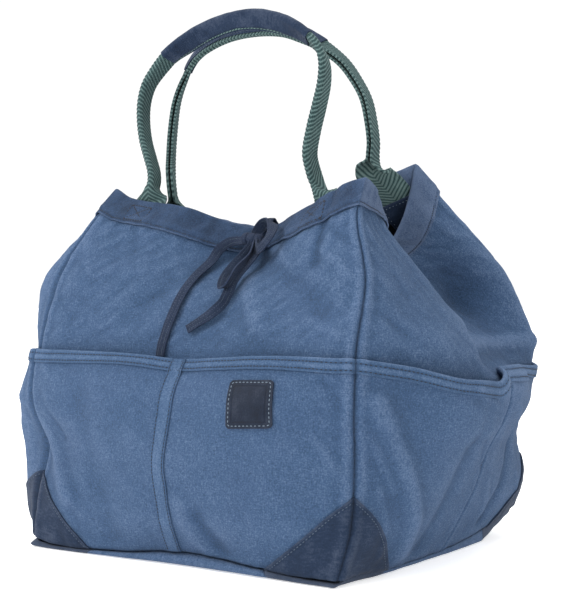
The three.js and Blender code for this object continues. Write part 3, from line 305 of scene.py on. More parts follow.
# The tie's runs: x and z of a place on the front, the distance off its cloth, and the roll of
# the tie's width on edge, in degrees
TIE_RUNS = {
    "left_tail": [
        (16, 299, 12, 0), (2, 303, 10, 0), (-9, 303, 9, 10), (-16, 296, 8, 10), (-18, 284, 6, 0),
        (-19, 268, 5, 0), (-20.5, 252, 4, 0), (-22, 237, 3.5, 0), (-23.5, 222, 3.2, 0),
        (-24.5, 211, 3, 0), (-25, 203, 2.6, 0), (-25, 195, 2.4, 0),
    ],
    "right_tail": [
        (30, 299, 13, 0), (37, 300, 14, 20), (41.5, 296, 13, 20), (42, 288, 11, 0),
        (41, 274, 9, 0), (38.5, 261, 7.5, 10), (36.5, 251, 7, 50), (34, 243, 7, 60),
        (25, 234, 6, 20), (11, 226, 4.5, 0), (1, 219.5, 4.5, 0),
    ],
    "upper_loop": [
        (28, 300, 14, 115), (26, 309, 14, 124), (31, 317, 14, 115), (41, 319, 12.5, 95),
        (52, 316, 13, 60), (63, 309, 14, 30), (67, 300, 15, 20), (59, 293, 15, 20),
        (48, 293, 14, 30), (34, 298, 14, 40),
    ],
    "lower_loop": [
        (27, 297, 12, 60), (25, 285, 11, 60), (23, 272, 9, 50), (23, 262, 9, 40),
        (29, 254.5, 10, 40), (39, 257, 12, 60), (42, 267, 13, 70), (38, 280, 13, 70),
        (30, 297, 13, 60),
    ],
}
# The knot: x and z of its middle, its distance off the cloth, its half sizes and its lean
KNOT = {"x": 24, "z": 299, "lift": 13.5, "half_long": 13, "half_high": 6.5, "half_deep": 5.5, "lean": -8}

# Sewing thread: how far apart the stitches are, and their length, width and height
STITCH_PITCH = 3.5
STITCH = (2.5, 1.0, 0.55)
CROSS_STITCH = (3.3, 1.5, 0.9)
FINE_PITCH = 2.4
FINE_STITCH = (1.5, 0.5, 0.35)
LABEL_PITCH = 3.8

# Rows of stitching, from the edge that each one runs along
BINDING_ROWS = (3, 10.7)
DIVIDER_HEM = 1.6
PATCH_HEM = 3.2
BAND_HEM = 3
LABEL_HEM = 2.4
GRIP_HEM = 2.6
TAB_HEM = 3
TIE_ROW = 2.1
CROSS = {"half_width": 15, "bottom": 4.5, "top": 9}


def smooth(t):
    """An even rise from 0 to 1"""
    t = np.clip(t, 0, 1)
    return t * t * (3 - 2 * t)


def bump(t):
    """A rounded peak at 0 that has died away by 2"""
    return np.exp(-np.square(t))


def unit(v):
    """Directions of length 1"""
    return v / np.maximum(np.linalg.norm(v, axis=-1, keepdims=True), 1e-9)


def square_to(tangent, v):
    """Directions of length 1 that are v turned square to a tangent"""
    return unit(v - tangent * np.sum(v * tangent, axis=-1, keepdims=True))


def distances(points):
    """Distance along a line of points, at each of them"""
    return np.concatenate([[0], np.cumsum(np.linalg.norm(np.diff(points, axis=0), axis=1))])


def read_along(stops, along, values):
    """Rows of values that lie at distances along a line, read at other distances"""
    return np.stack([np.interp(stops, along, column) for column in np.transpose(values)], axis=-1)


def rounded(t, start, end, start_slope, end_slope):
    """From start to end for t from 0 to 1, with the given slopes there"""
    t2 = t**2
    t3 = t**3
    return (
        (2 * t3 - 3 * t2 + 1) * start + (t3 - 2 * t2 + t) * start_slope
        + (3 * t2 - 2 * t3) * end + (t3 - t2) * end_slope
    )


def curve(xs, ys, x):
    """Smooth curve through (xs, ys) without overshoot, straight past its ends.

    ys may hold one row for each of several curves."""
    xs = np.asarray(xs, float)
    ys = np.asarray(ys, float)
    step = np.diff(xs)
    chord = np.diff(ys, axis=-1) / step
    a = chord[..., :-1]
    b = chord[..., 1:]
    both = np.where(a * b > 0, 2 * a * b / np.where(a + b == 0, 1, a + b), 0)
    slope = np.concatenate([chord[..., :1], both, chord[..., -1:]], axis=-1)
    i = np.clip(np.searchsorted(xs, x) - 1, 0, len(xs) - 2)
    t = (x - xs[i]) / step[i]
    inside = np.clip(t, 0, 1)
    past = (t - inside) * step[i] * np.where(t < 0, slope[..., i], slope[..., i + 1])
    first, last = (step[i] * slope[..., k] for k in (i, i + 1))
    return rounded(inside, ys[..., i], ys[..., i + 1], first, last) + past


def spline(points, count):
    """Places on a rounded line through the points, at even steps from point to point"""
    points = np.asarray(points, float)
    ends = 2 * points[[0, -1]] - points[[1, -2]]
    p = np.concatenate([ends[:1], points, ends[1:]])
    k = np.linspace(0, len(points) - 1, count)
    i = np.minimum(k.astype(int), len(points) - 2)
    t = (k - i)[:, None]
    p0, p1, p2, p3 = (p[i + n] for n in range(4))
    d0, d1, d2 = (
        np.maximum(np.linalg.norm(b - a, axis=-1, keepdims=True), 1e-6) ** 0.5
        for a, b in ((p0, p1), (p1, p2), (p2, p3))
    )
    m1 = ((p1 - p0) / d0 - (p2 - p0) / (d0 + d1) + (p2 - p1) / d1) * d1
    m2 = ((p2 - p1) / d1 - (p3 - p1) / (d1 + d2) + (p3 - p2) / d2) * d1
    return rounded(t, p1, p2, m1, m2)


def ripple(seed, x, y, cell):
    """Smooth random waves from -1 to 1, about one cell across"""
    lattice = np.random.default_rng(seed).uniform(-1, 1, (97, 97))
    x = x / cell + 31.7
    y = y / cell + 17.3
    i = np.floor(x).astype(int)
    j = np.floor(y).astype(int)
    s = smooth(x - i)
    t = smooth(y - j)
    low = lattice[j % 97, i % 97] * (1 - s) + lattice[j % 97, (i + 1) % 97] * s
    high = lattice[(j + 1) % 97, i % 97] * (1 - s) + lattice[(j + 1) % 97, (i + 1) % 97] * s
    return low * (1 - t) + high * t


def soften(grid, reach):
    """The grid averaged over a square of that many cells each way"""
    out = grid
    for axis in (0, 1):
        pad = [(reach + 1, reach) if a == axis else (0, 0) for a in (0, 1)]
        total = np.cumsum(np.pad(out, pad, mode="edge"), axis=axis)
        span = 2 * reach + 1
        ahead = np.take(total, range(span, total.shape[axis]), axis=axis)
        behind = np.take(total, range(0, total.shape[axis] - span), axis=axis)
        out = (ahead - behind) / span
    return out


class Surface:
    """A sheet's middle surface, held on an even grid of flat coordinates"""

    def __init__(self, width, height, places, normals=None):
        self.width = width
        self.height = height
        self.places = places
        if normals is None:
            along = np.gradient(places, axis=0)
            across = np.gradient(places, axis=1)
            normals = unit(np.cross(across, along))
        self.normals = normals

    def read(self, grid, x, y):
        """The grid's values at flat places"""
        rows, columns = grid.shape[:2]
        gx = np.clip(np.asarray(x, float) / self.width, 0, 1) * (columns - 1)
        gy = np.clip(np.asarray(y, float) / self.height, 0, 1) * (rows - 1)
        i = np.minimum(gx.astype(int), columns - 2)
        j = np.minimum(gy.astype(int), rows - 2)
        s = gx - i
        t = gy - j
        if grid.ndim == 3:
            s = s[..., None]
            t = t[..., None]
        low = grid[j, i] * (1 - s) + grid[j, i + 1] * s
        high = grid[j + 1, i] * (1 - s) + grid[j + 1, i + 1] * s
        return low * (1 - t) + high * t

    def at(self, x, y, off=0.0):
        """Places at a distance off the sheet's middle"""
        off = np.asarray(off, float)
        return self.read(self.places, x, y) + self.read(self.normals, x, y) * off[..., None]


class Side(Surface):
    """One side of the bag, from its left seam to its right, seen from outside"""

    COLUMNS = 251
    ROWS = 256
    TOP = 1.02 * PANEL_HEIGHT

    def __init__(self, name):
        self.name = name
        self.row = row = SIDES[name]
        x = np.linspace(0, PANEL_WIDTH, self.COLUMNS)
        y = np.linspace(0, self.TOP, self.ROWS)
        self.x, self.y = np.meshgrid(x, y)
        seams = [curve(LEVELS, np.transpose(CORNER_SEAMS[c]), y).T for c in row["seams"]]
        share = (x / PANEL_WIDTH)[None, :, None]
        places = seams[0][:, None] * (1 - share) + seams[1][:, None] * share
        places = places + (0, 0, BASE_ROLL)
        out = self.table("out") + self.folds(FOLDS)
        places = places + out[..., None] * row["outward"]
        if row["along"]:
            places = places + self.table("along")[..., None] * row["across"]
        places[..., 2] += self.table("rise")
        super().__init__(PANEL_WIDTH, self.TOP, places, self.raw_normals(places))
        self.out = out

    def table(self, key):
        """One of the side's tables, read over the whole grid, with 0 at the seams"""
        columns = curve(LEVELS, np.transpose(self.row[key]), self.y[:, 0])
        edge = np.zeros((1, self.ROWS))
        columns = np.concatenate([edge, columns, edge]).T
        stations = np.array([0, *self.row["stations"], 1]) * PANEL_WIDTH
        return curve(stations, columns, self.x[0])

    def folds(self, rows):
        """The ridges and troughs of this side from a table of folds"""
        total = np.zeros_like(self.x)
        size = np.array([PANEL_WIDTH, PANEL_HEIGHT])
        fade = smooth(np.minimum(self.x, PANEL_WIDTH - self.x) / 18) * smooth(self.y / 16)
        for side, start, end, height, width in rows:
            if side != self.name:
                continue
            a = np.array(start) * size
            line = np.array(end) * size - a
            t = ((self.x - a[0]) * line[0] + (self.y - a[1]) * line[1]) / (line @ line)
            t = np.clip(t, 0, 1)
            away = np.hypot(self.x - a[0] - t * line[0], self.y - a[1] - t * line[1])
            total += height * bump(away / width) * fade
        return total

    @staticmethod
    def raw_normals(places):
        """Outward directions, read a few grid lines each way"""
        reach = 3
        rows, columns = places.shape[:2]
        j = np.arange(rows)
        i = np.arange(columns)
        right = places[:, np.minimum(i + reach, columns - 1)] - places[:, np.maximum(i - reach, 0)]
        up = places[np.minimum(j + reach, rows - 1)] - places[np.maximum(j - reach, 0)]
        return unit(np.cross(right, up))

    def halve_corners(self, before, after):
        """Turn the normals at each seam to halve the corner with the next side"""
        turn = 0.045 * PANEL_WIDTH
        start = unit(self.normals[:, 0] + before[:, -1])[:, None]
        end = unit(self.normals[:, -1] + after[:, 0])[:, None]
        own = smooth(np.minimum(self.x, PANEL_WIDTH - self.x) / turn)[..., None]
        halved = np.where((self.x < PANEL_WIDTH / 2)[..., None], start, end)
        return unit(halved * (1 - own) + self.normals * own)

    def crumple(self):
        """Add the small relief: creases, seams drawn in, and puckers along the stitching"""
        seed = SIDE_ORDER.index(self.name) * 10
        x = self.x
        y = self.y
        seam = np.minimum(x, PANEL_WIDTH - x)
        under_band = BAND_FOOT - y
        below = smooth((under_band + 4) / 12)
        free = smooth(seam / 14)
        height = self.folds(CREASES)
        height += 1.5 * ripple(seed + 1, x, y, 62) * free
        height += 0.8 * ripple(seed + 2, x + 0.4 * y, y, 27) * free
        height += 0.35 * ripple(seed + 3, x, y + 0.5 * x, 12) * free
        pucker = ripple(seed + 4, x * 0 + 5, y, 9) + 0.6 * ripple(seed + 5, x * 0 + 9, y, 4.6)
        height += 0.75 * pucker * np.exp(-seam / 13) * smooth(seam / 3) * below
        height += (1.3 * bump((seam - 6) / 3.4) - 3.0 * bump(seam / 2.0)) * below
        foot = ripple(seed + 6, x, x * 0, 10) + 0.5 * ripple(seed + 7, x, x * 0, 5)
        height += 0.8 * foot * np.exp(-y / 12) * smooth(y / 3) * free - 1.4 * bump(y / 2.2)
        drawn = ripple(seed + 8, x, x * 0, 8) + 0.5 * ripple(seed + 9, x, x * 0, 4.5)
        tight = np.exp(-np.maximum(under_band, 0) / 16) * smooth(under_band / 6 + 0.6)
        height += 0.8 * drawn * tight * free
        mouth = self.mouth(x)
        tug = ripple(seed + 4, x, x * 0, 11)
        height += 0.7 * tug * np.exp(-np.abs(y - mouth + 12) / 12) * free
        slant = 1 if self.name in ("front", "back") else -1
        upper = smooth((y - mouth - 4) / 30) * free
        drag = ripple(seed + 3, (x + slant * y) * 0.5, (y - slant * x) * 1.6, 13)
        height += 0.8 * drag * upper
        self.places = self.places + self.normals * height[..., None]
        # Colour from the shape: paler on ridges, where washed cloth fades, and darker in hollows and in
        # the big folds, which is painted shade
        shape = self.out + height
        fine = (shape - soften(shape, 6)) / 1.1
        broad = (shape - soften(shape, 22)) / 7
        self.wear_and_shade = np.clip(0.8 * fine + 0.5 * broad, -1, 1)
        # A dark line along each corner seam below the band: painted shade in the seam's groove
        self.wear_and_shade = self.wear_and_shade - 2.2 * bump(seam / 1.3) * below

    def mouth(self, x):
        """Height of the pocket's top edge"""
        pocket = POCKETS[self.name]
        return curve(MOUTH_STATIONS, pocket["mouth"], np.asarray(x) / PANEL_WIDTH) * PANEL_HEIGHT

    def inner(self, x, y):
        """Distance from the panel's middle to the pocket's inner face"""
        pocket = POCKETS[self.name]
        u = np.asarray(x) / PANEL_WIDTH
        height = y / self.mouth(x)
        left = u < 0.5
        share = np.clip(np.where(left, u, u - 0.5) / 0.5, 0, 1)
        skewed = share ** np.where(left, *pocket["skew"])
        belly = np.sin(np.pi * skewed) ** 0.8
        gape = np.where(left, *pocket["gape"]) * belly * smooth((height - 0.35) / 0.65)
        lift = smooth((height - 0.6) / 0.3)
        gap = POCKET_SEAM_GAP + (POCKET_MOUTH_GAP - POCKET_SEAM_GAP) * lift
        return CANVAS / 2 + gap + gape

    def on_pocket(self, x, y, off=0.0):
        """A place at a distance outside the pocket's outer face"""
        inner = self.inner(x, np.minimum(y, self.mouth(x)))
        return self.at(x, y, inner + POCKET_CLOTH + off)

    def worn_and_shaded(self, x, y):
        """Paler on ridges, where the cloth fades, up to 1, and darker in hollows, down to -1, which is
        painted shade
        """
        return self.read(self.wear_and_shade, x, y)


def make_sides():
    """The four sides, with their corners halved and their small relief"""
    sides = {name: Side(name) for name in SIDE_ORDER}
    raw = [sides[name].normals for name in SIDE_ORDER]
    halved = [
        sides[name].halve_corners(raw[k - 1], raw[(k + 1) % 4])
        for k, name in enumerate(SIDE_ORDER)
    ]
    for name, normals in zip(SIDE_ORDER, halved):
        sides[name].normals = normals
        sides[name].crumple()
    return sides


SURFACES = make_sides()


def lines(*stretches):
    """Grid lines through (place, step) pairs: from each place on, lines about a step apart"""
    out = [stretches[0][0]]
    for (start, step), (end, _) in zip(stretches, stretches[1:]):
        count = max(1, round(abs(end - start) / step))
        out.extend(np.linspace(start, end, count + 1)[1:])
    return np.array(out)


def flat_grid(xs, ys, cuts=()):
    """A flat sheet on grid lines, cut off past straight lines given as (point, outward)"""
    bm = bmesh.new()
    bmesh.ops.create_grid(bm, x_segments=len(xs) - 1, y_segments=len(ys) - 1, size=1.0)
    for vert in bm.verts:
        i = round((vert.co.x + 1) / 2 * (len(xs) - 1))
        j = round((vert.co.y + 1) / 2 * (len(ys) - 1))
        vert.co = (xs[i], ys[j], 0)
    for point, outward in cuts:
        bmesh.ops.bisect_plane(
            bm, geom=bm.verts[:] + bm.edges[:] + bm.faces[:], dist=1e-4,
            plane_co=(*point, 0), plane_no=(*outward, 0), clear_outer=True,
        )
    return bm


def coordinates(mesh):
    """The mesh's points, one row each"""
    flat = np.empty(len(mesh.vertices) * 3)
    mesh.vertices.foreach_get("co", flat)
    return flat.reshape(-1, 3)


def set_coordinates(mesh, places):
    """Move the mesh's points to places in millimetres"""
    mesh.vertices.foreach_set("co", np.ascontiguousarray(places * MM, dtype=float).ravel())


def weld(mesh, distance=0.00005, outward=False):
    """Join the points of a mesh that meet"""
    bm = bmesh.new()
    bm.from_mesh(mesh)
    bmesh.ops.remove_doubles(bm, verts=bm.verts, dist=distance)
    if outward:
        bmesh.ops.recalc_face_normals(bm, faces=bm.faces)
    bm.to_mesh(mesh)
    bm.free()


def piece(name, mesh, finish, nodes=()):
    """An object of the bag, standing for the named nodes of the frame"""
    obj = bpy.data.objects.new(name, mesh)
    bpy.context.scene.collection.objects.link(obj)
    for material in finish if isinstance(finish, (list, tuple)) else [finish]:
        mesh.materials.append(material)
    mesh.shade_smooth()
    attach(obj, "root")
    if nodes:
        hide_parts(*nodes)
    return obj


def shaped(name, bm, place, wear_and_shade):
    """The mesh of a flat cut with its points at their places, its flat points and its flat area"""
    mesh = bpy.data.meshes.new(name)
    bm.to_mesh(mesh)
    bm.free()
    flat = coordinates(mesh)
    x = flat[:, 0]
    y = flat[:, 1]
    area = sum(face.area for face in mesh.polygons)
    corner = np.empty(len(mesh.loops), int)
    mesh.loops.foreach_get("vertex_index", corner)
    cut = mesh.uv_layers.new(name="cloth")
    cut.uv.foreach_set("vector", np.ascontiguousarray(flat[corner, :2] * MM, dtype=float).ravel())
    set_coordinates(mesh, place(x, y))
    worn_and_shaded = mesh.attributes.new("wear_and_shade", "FLOAT", "POINT")
    amount = np.clip(wear_and_shade(x, y), -1, 1)
    worn_and_shaded.data.foreach_set("value", np.ascontiguousarray(amount, dtype=float))
    return mesh, flat, area


def sew(name, bm, place, thickness, finish, wear_and_shade, nodes=(),
        welded=False, edge=0.3, lined=False):
    """A cloth of one thickness, sewn from its flat cut"""
    mesh, flat, flat_area = shaped(name, bm, place, wear_and_shade)
    if welded:
        weld(mesh)
    obj = piece(name, mesh, finish, nodes)
    solid = obj.modifiers.new("thickness", "SOLIDIFY")
    solid.thickness = thickness * MM
    solid.offset = 0
    # The inner faces take the second material: the inside canvas, painted dark as shade
    if lined:
        solid.material_offset = 1
        solid.material_offset_rim = 0
    if edge:
        bevel = obj.modifiers.new("edge", "BEVEL")
        bevel.width = edge * MM
        bevel.segments = 2
        bevel.limit_method = "ANGLE"
        bevel.angle_limit = math.radians(55)
        bevel.use_clamp_overlap = True
    return obj


# Columns of a panel's and a pocket's cloth, closer together at the seams
SEAM_EDGE = 0.25
COLUMNS = lines((SEAM_EDGE, 1.3), (11, 3.2), (PANEL_WIDTH - 11, 1.3), (PANEL_WIDTH - SEAM_EDGE, 1))


def make_panel(name, thickness, finish):
    """The panel from the bottom seam up into the band, in coarser steps behind the pocket"""
    side = SURFACES[name]
    covered = 190
    rows = lines((0.6, 9), (covered, 3.2), (PANEL_TOP, 1))

    def place(x, y):
        return side.at(x, y, -0.45 * smooth((covered - y) / 30))

    return sew(
        f"{name}_panel_cloth", flat_grid(COLUMNS, rows), place, thickness, finish,
        nodes=[f"{name}_panel"],
        wear_and_shade=side.worn_and_shaded, edge=0, lined=True,
    )


def make_pocket(name, thickness, finish):
    """The patch pocket, a little short of the top edge that its binding wraps"""
    side = SURFACES[name]
    height = float(np.mean(side.mouth(COLUMNS)))

    def up(x, y):
        return y / height * side.mouth(x)

    def place(x, y):
        return side.on_pocket(x, up(x, y), seam_dent(name, x) - thickness / 2)

    def wear_and_shade(x, y):
        # Darker in the groove where a side pocket is sewn through at its middle, which is painted shade,
        # and paler on the puffs beside it
        return side.worn_and_shaded(x, up(x, y)) + 0.7 * seam_dent(name, x)

    return sew(
        f"{name}_pocket_cloth", flat_grid(COLUMNS, lines((0.6, 1.3), (12, 3), (height, 1))), place,
        thickness, finish, nodes=[f"{name}_pocket"],
        wear_and_shade=wear_and_shade, edge=0,
    )


def seam_dent(name, x):
    """The side pockets are sewn through at their middle"""
    if name in DIVIDED:
        return np.zeros_like(x)
    near = np.abs(x - DIVIDER_X)
    return 0.9 * bump((near - 4.5) / 2.6) - 2.0 * bump(near / 1.5)


def over_edge(y, flap, turn):
    """Along a strip folded over an edge: up its outer flap, round a half circle, down inside.

    Gives the height over the half circle's centre, and the distance outwards from it."""
    half_turn = turn * math.pi / 2
    angle = np.clip((y - flap) / half_turn, 0, 2) * math.pi / 2
    down = np.where(angle < math.pi, 0, flap + 2 * half_turn - y)
    rise = np.where(y < flap, y - flap, down)
    return rise + turn * np.sin(angle), turn * np.cos(angle)


def edge_lines(flap, turn, facing, steps):
    """Grid lines along a strip folded over an edge: outer flap, half circle, inner flap"""
    inner = flap + turn * math.pi
    return lines((0, steps[0]), (flap, steps[1]), (inner, steps[2]), (inner + facing, 1))


def make_binding(name, thickness, finish):
    """Folded over the pocket's top edge, with a flap on each face"""
    side = SURFACES[name]
    turn = (POCKET_CLOTH + thickness) / 2 + GAP
    top = BINDING_WIDTH + turn * math.pi / 2
    ys = edge_lines(BINDING_WIDTH, turn, BINDING_WIDTH, (1.5, 0.9, 2.5))
    between = 6.8

    def rows(y, width):
        return sum(bump((y - row) / width) for row in BINDING_ROWS)

    def place(x, y):
        rise, out = over_edge(y, BINDING_WIDTH, turn)
        outside = smooth((BINDING_WIDTH + 1 - y) / 2)
        pinch = 0.7 + 0.3 * np.cos(math.pi * x / STITCH_PITCH)
        padded = 0.4 * bump((y - between) / 2.6)
        hem = 0.3 * ripple(7, x, y * 0, 6) * smooth((8 - y) / 6)
        soft = outside * (padded - 0.28 * rows(y, 1.3) * pinch + hem)
        return side.on_pocket(x, side.mouth(x) + rise, out - POCKET_CLOTH / 2 + soft)

    def wear_and_shade(x, y):
        crown = bump((y - top) / 3)
        middle = bump((y - between) / 2.4)
        under = side.worn_and_shaded(x, side.mouth(x) - 8)
        # Paler on the fold's crown and the padded middle; darker along both stitched rows, partly dirt and
        # partly painted shade in their creases
        return 0.6 * crown + 0.4 * middle - 1.1 * rows(y, 1.1) + 0.5 * under

    xs = lines((SEAM_EDGE, 1.75), (PANEL_WIDTH - SEAM_EDGE, 1))
    return sew(
        f"{name}_pocket_binding", flat_grid(xs, ys), place, thickness, finish,
        nodes=[f"{name}_binding"],
        wear_and_shade=wear_and_shade, edge=0.2,
    )


def divider_place(name, x, y, off):
    """A place over the middle of a pocket, at a distance off it: past the binding's foot, off that"""
    side = SURFACES[name]
    over = smooth((y - float(side.mouth(DIVIDER_X)) + BINDING_WIDTH + 4) / 5)
    wave = 0.5 * ripple(3, x * 0, y, 22)
    return side.on_pocket(DIVIDER_X + x + wave, y, GAP + (BINDING_CLOTH + GAP) * over + off)


def make_divider(name, thickness, finish):
    """The strip over the middle of a pocket, which ends on its binding"""
    side = SURFACES[name]
    mouth = float(side.mouth(DIVIDER_X))

    def hems(x, width):
        return bump((np.abs(x) - DIVIDER_WIDTH / 2 + DIVIDER_HEM) / width)

    def place(x, y):
        return divider_place(name, x, y, thickness / 2 + 0.35 * bump(x / 4.4) - 0.25 * hems(x, 1.0))

    def wear_and_shade(x, y):
        # Darker along the stitched hems: painted shade in their creases
        return 0.2 + 0.5 * side.worn_and_shaded(DIVIDER_X + x, y) - 1.1 * hems(x, 1.1)

    half = DIVIDER_WIDTH / 2
    bm = flat_grid(np.linspace(-half, half, 11), lines((1.2, 2.2), (mouth + 1, 1)))
    return sew(
        f"{name}_pocket_divider", bm, place, thickness, finish,
        nodes=[f"{name}_divider"],
        wear_and_shade=wear_and_shade, edge=0.25,
    )


def seam_end(at_start):
    """The direction in from a side's left or right seam, and the seam's x"""
    return (1, 0) if at_start else (-1, PANEL_WIDTH)


def slant_inset(x, y):
    """Distance in from a corner patch's slanted edge"""
    inside = PATCH_FOOT * PATCH_HEIGHT - np.abs(x) * PATCH_HEIGHT - y * PATCH_FOOT
    return inside / math.hypot(PATCH_FOOT, PATCH_HEIGHT)


def patch_place(name, at_start, x, y, off):
    """A place on a corner patch, its slanted edge sagging a little at the middle"""
    sign, seam = seam_end(at_start)
    near_edge = smooth(1 - slant_inset(x, y) / 40)
    sag = 0.7 * PATCH_SAG * bump((np.abs(x) / PATCH_FOOT - 0.5) / 0.38) * near_edge
    return SURFACES[name].on_pocket(seam + x - sign * sag, y - sag, PATCH_GAP + off)


def make_patch(name, at_start, thickness, finish):
    """Suede triangle in a pocket's bottom corner"""
    side = SURFACES[name]
    sign, seam = seam_end(at_start)
    bm = flat_grid(
        sign * lines((0.3, 1.6), (PATCH_FOOT, 1)), lines((1.0, 1.8), (PATCH_HEIGHT, 1)),
        cuts=[((sign * PATCH_FOOT, 0), (sign * PATCH_HEIGHT, PATCH_FOOT))],
    )
    if not at_start:
        bmesh.ops.reverse_faces(bm, faces=bm.faces)

    def place(x, y):
        soft = -0.35 * bump((slant_inset(x, y) - PATCH_HEM) / 1.1) + 0.2 * ripple(11, x, y, 9)
        return patch_place(name, at_start, x, y, thickness / 2 + soft)

    def wear_and_shade(x, y):
        inset = slant_inset(x, y)
        row = bump((inset - PATCH_HEM) / 1.2)
        # Paler at the rubbed slanted edge; darker along the stitched row: painted shade in its crease
        return 0.5 * bump(inset / 2) - 0.4 * row + 0.4 * side.worn_and_shaded(seam + x, y)

    end = "left" if at_start else "right"
    return sew(
        f"{name}_{end}_corner_suede", bm, place, thickness, finish,
        nodes=[f"{name}_{end}_patch"],
        wear_and_shade=wear_and_shade, edge=0.3,
    )


def make_band(thickness, finish):
    """One strip round the whole mouth, folded over the panels' top edges"""
    outside = BAND_FACE - thickness / 2
    turn = (outside - BAND_BACK) / 2
    height = RIM - BAND_FOOT - turn
    top = height + turn * math.pi / 2
    ys = edge_lines(height, turn, BAND_FACING, (1.6, 0.8, 2.6))
    xs = lines((0, 2.6), (4 * PANEL_WIDTH, 1))
    ridge_at = 7.5

    def place(x, y):
        rise, off = over_edge(y, height, turn)
        level = rise + BAND_FOOT + height
        drawn = ripple(41, x, y * 0, 7) + 0.5 * ripple(42, x, y * 0, 3.8)
        row = 0.4 * bump((y - BAND_HEM) / 1.3)
        ridge = 0.45 * bump((y - ridge_at) / 3)
        soft = smooth((height - y) / 3) * (0.5 * drawn * np.exp(-y / 7) - row + ridge)
        off = (outside + BAND_BACK) / 2 + off + soft
        out = np.empty((len(x), 3))
        which = np.minimum((x // PANEL_WIDTH).astype(int), 3)
        for k, name in enumerate(SIDE_ORDER):
            here = which == k
            out[here] = SURFACES[name].at(x[here] - k * PANEL_WIDTH, level[here], off[here])
        return out

    def wear_and_shade(x, y):
        fold = bump((y - top) / 3.2)
        ridge = bump((y - ridge_at) / 3)
        # Darker along the stitched row: painted shade in its crease
        row = bump((y - BAND_HEM + 0.2) / 1.2)
        patchy = 0.3 * ripple(43, x, y, 24) + 0.3 * ripple(44, x, y * 0.4, 7)
        # Painted shade on the front and left of the band, painted light on its right side and back
        past_front = smooth((x - PANEL_WIDTH + 14) / 28)
        on_left = smooth((x - 3.5 * PANEL_WIDTH) / 90)
        painted_side_light = 1.3 * (past_front - on_left) - 0.42
        return painted_side_light + 0.35 * fold + 0.2 * ridge - 0.4 * row + patchy + 0.7 * bump(y / 0.9)

    return sew(
        "top_band_cloth", flat_grid(xs, ys), place, thickness, finish,
        nodes=["top_band"],
        wear_and_shade=wear_and_shade, welded=True, edge=0.3,
    )


def base_place(x, y):
    """The base from its flat cut: flat on the ground, with its edge curled up to the seams"""
    p = np.clip(np.asarray(x) / BASE_SPAN, 0, 1)
    q = np.clip(np.asarray(y) / BASE_SPAN, 0, 1)
    sides = {"front": (p, 1 - q), "back": (1 - p, q), "left": (1 - q, 1 - p), "right": (q, p)}
    place = 0
    for name, (u, share) in sides.items():
        place = place + SURFACES[name].at(u * PANEL_WIDTH, 0 * u) * share[..., None]
    for name, share in (("frontLeft", (1 - p) * (1 - q)), ("frontRight", p * (1 - q)),
                        ("backLeft", (1 - p) * q), ("backRight", p * q)):
        place = place - SURFACES[CORNER_SIDES[name]].at(0.0, 0.0) * share[..., None]
    seam = place[..., 2] - BASE_CLOTH / 2 - 1.0
    away = np.minimum(np.minimum(p, 1 - p), np.minimum(q, 1 - q)) * BASE_SPAN
    reach = np.maximum(BASE_CURL, 3 * (seam - BASE_BEND))
    power = 1.4 + 1.2 / (1 + (reach - BASE_CURL) / 20)
    curl = np.maximum(0, 1 - away / reach) ** power
    place[..., 2] = BASE_CLOTH / 2 + np.maximum(0, seam - BASE_CLOTH / 2) * curl
    bulge = np.sin(math.pi * np.minimum(1, away / BASE_CURL)) * smooth(1 - away / BASE_CURL)
    lead = np.abs(place[..., 0]) - np.abs(place[..., 1])
    sideways = np.where(place[..., 0] > 0, BASE_LIP["right"], -BASE_LIP["left"])
    endways = np.where(place[..., 1] > 0, BASE_LIP["back"], -BASE_LIP["front"])
    place[..., 0] += sideways * smooth(1 + lead / BASE_TURN) * bulge
    place[..., 1] += endways * smooth(1 - lead / BASE_TURN) * bulge
    return place


def make_base(thickness, canvas, suede):
    """The canvas base and the suede on its four corners"""
    count = 240
    grid = np.linspace(0, BASE_SPAN, count)
    x, y = np.meshgrid(grid, grid)
    places = base_place(x, y)
    across = np.gradient(places, axis=1)
    along = np.gradient(places, axis=0)
    base = Surface(BASE_SPAN, BASE_SPAN, places, unit(np.cross(along, across)))
    edge = 0.4
    curled = 14
    stops = lines((edge, 1.2), (curled, 5), (BASE_SPAN / 2, 5), (BASE_SPAN - curled, 1.2),
                  (BASE_SPAN - edge, 1))
    corners = {
        "frontLeft": (0, 0, 1, 1), "frontRight": (BASE_SPAN, 0, -1, 1),
        "backRight": (BASE_SPAN, BASE_SPAN, -1, -1), "backLeft": (0, BASE_SPAN, 1, -1),
    }

    def cloth(keys, foot, inwards):
        """The flat base cut across the named corners, keeping its middle or the corner"""
        cuts = []
        for key in keys:
            cx, cy, sx, sy = corners[key]
            cuts.append(((cx + sx * foot, cy), (sx, sy) if inwards else (-sx, -sy)))
        bm = flat_grid(stops, stops, cuts)
        bmesh.ops.reverse_faces(bm, faces=bm.faces)
        return bm

    def place(x, y):
        return base.at(x, y, -0.15 * (1 + ripple(51, x, y, 30)))

    def wear_and_shade(x, y):
        away = np.minimum(np.minimum(x, BASE_SPAN - x), np.minimum(y, BASE_SPAN - y))
        lip = smooth((26 - away) / 8)
        # Paler on the curled lip; darker right at the edge: painted shade in the seam's groove
        return 1.6 * lip - 0.5 * bump(away / 1.6) + 0.25 * ripple(52, x, y, 16)

    sew(
        "base_panel_cloth", cloth(corners, BASE_FOOT, False), place, thickness, canvas,
        nodes=["base_panel"], wear_and_shade=wear_and_shade, edge=0,
    )
    for key in corners:
        sew(
            f"{key}_base_suede", cloth([key], BASE_FOOT - 0.6, True), place, thickness + 0.2,
            suede, nodes=[f"{key}_base_patch"], wear_and_shade=wear_and_shade, edge=0.3,
        )


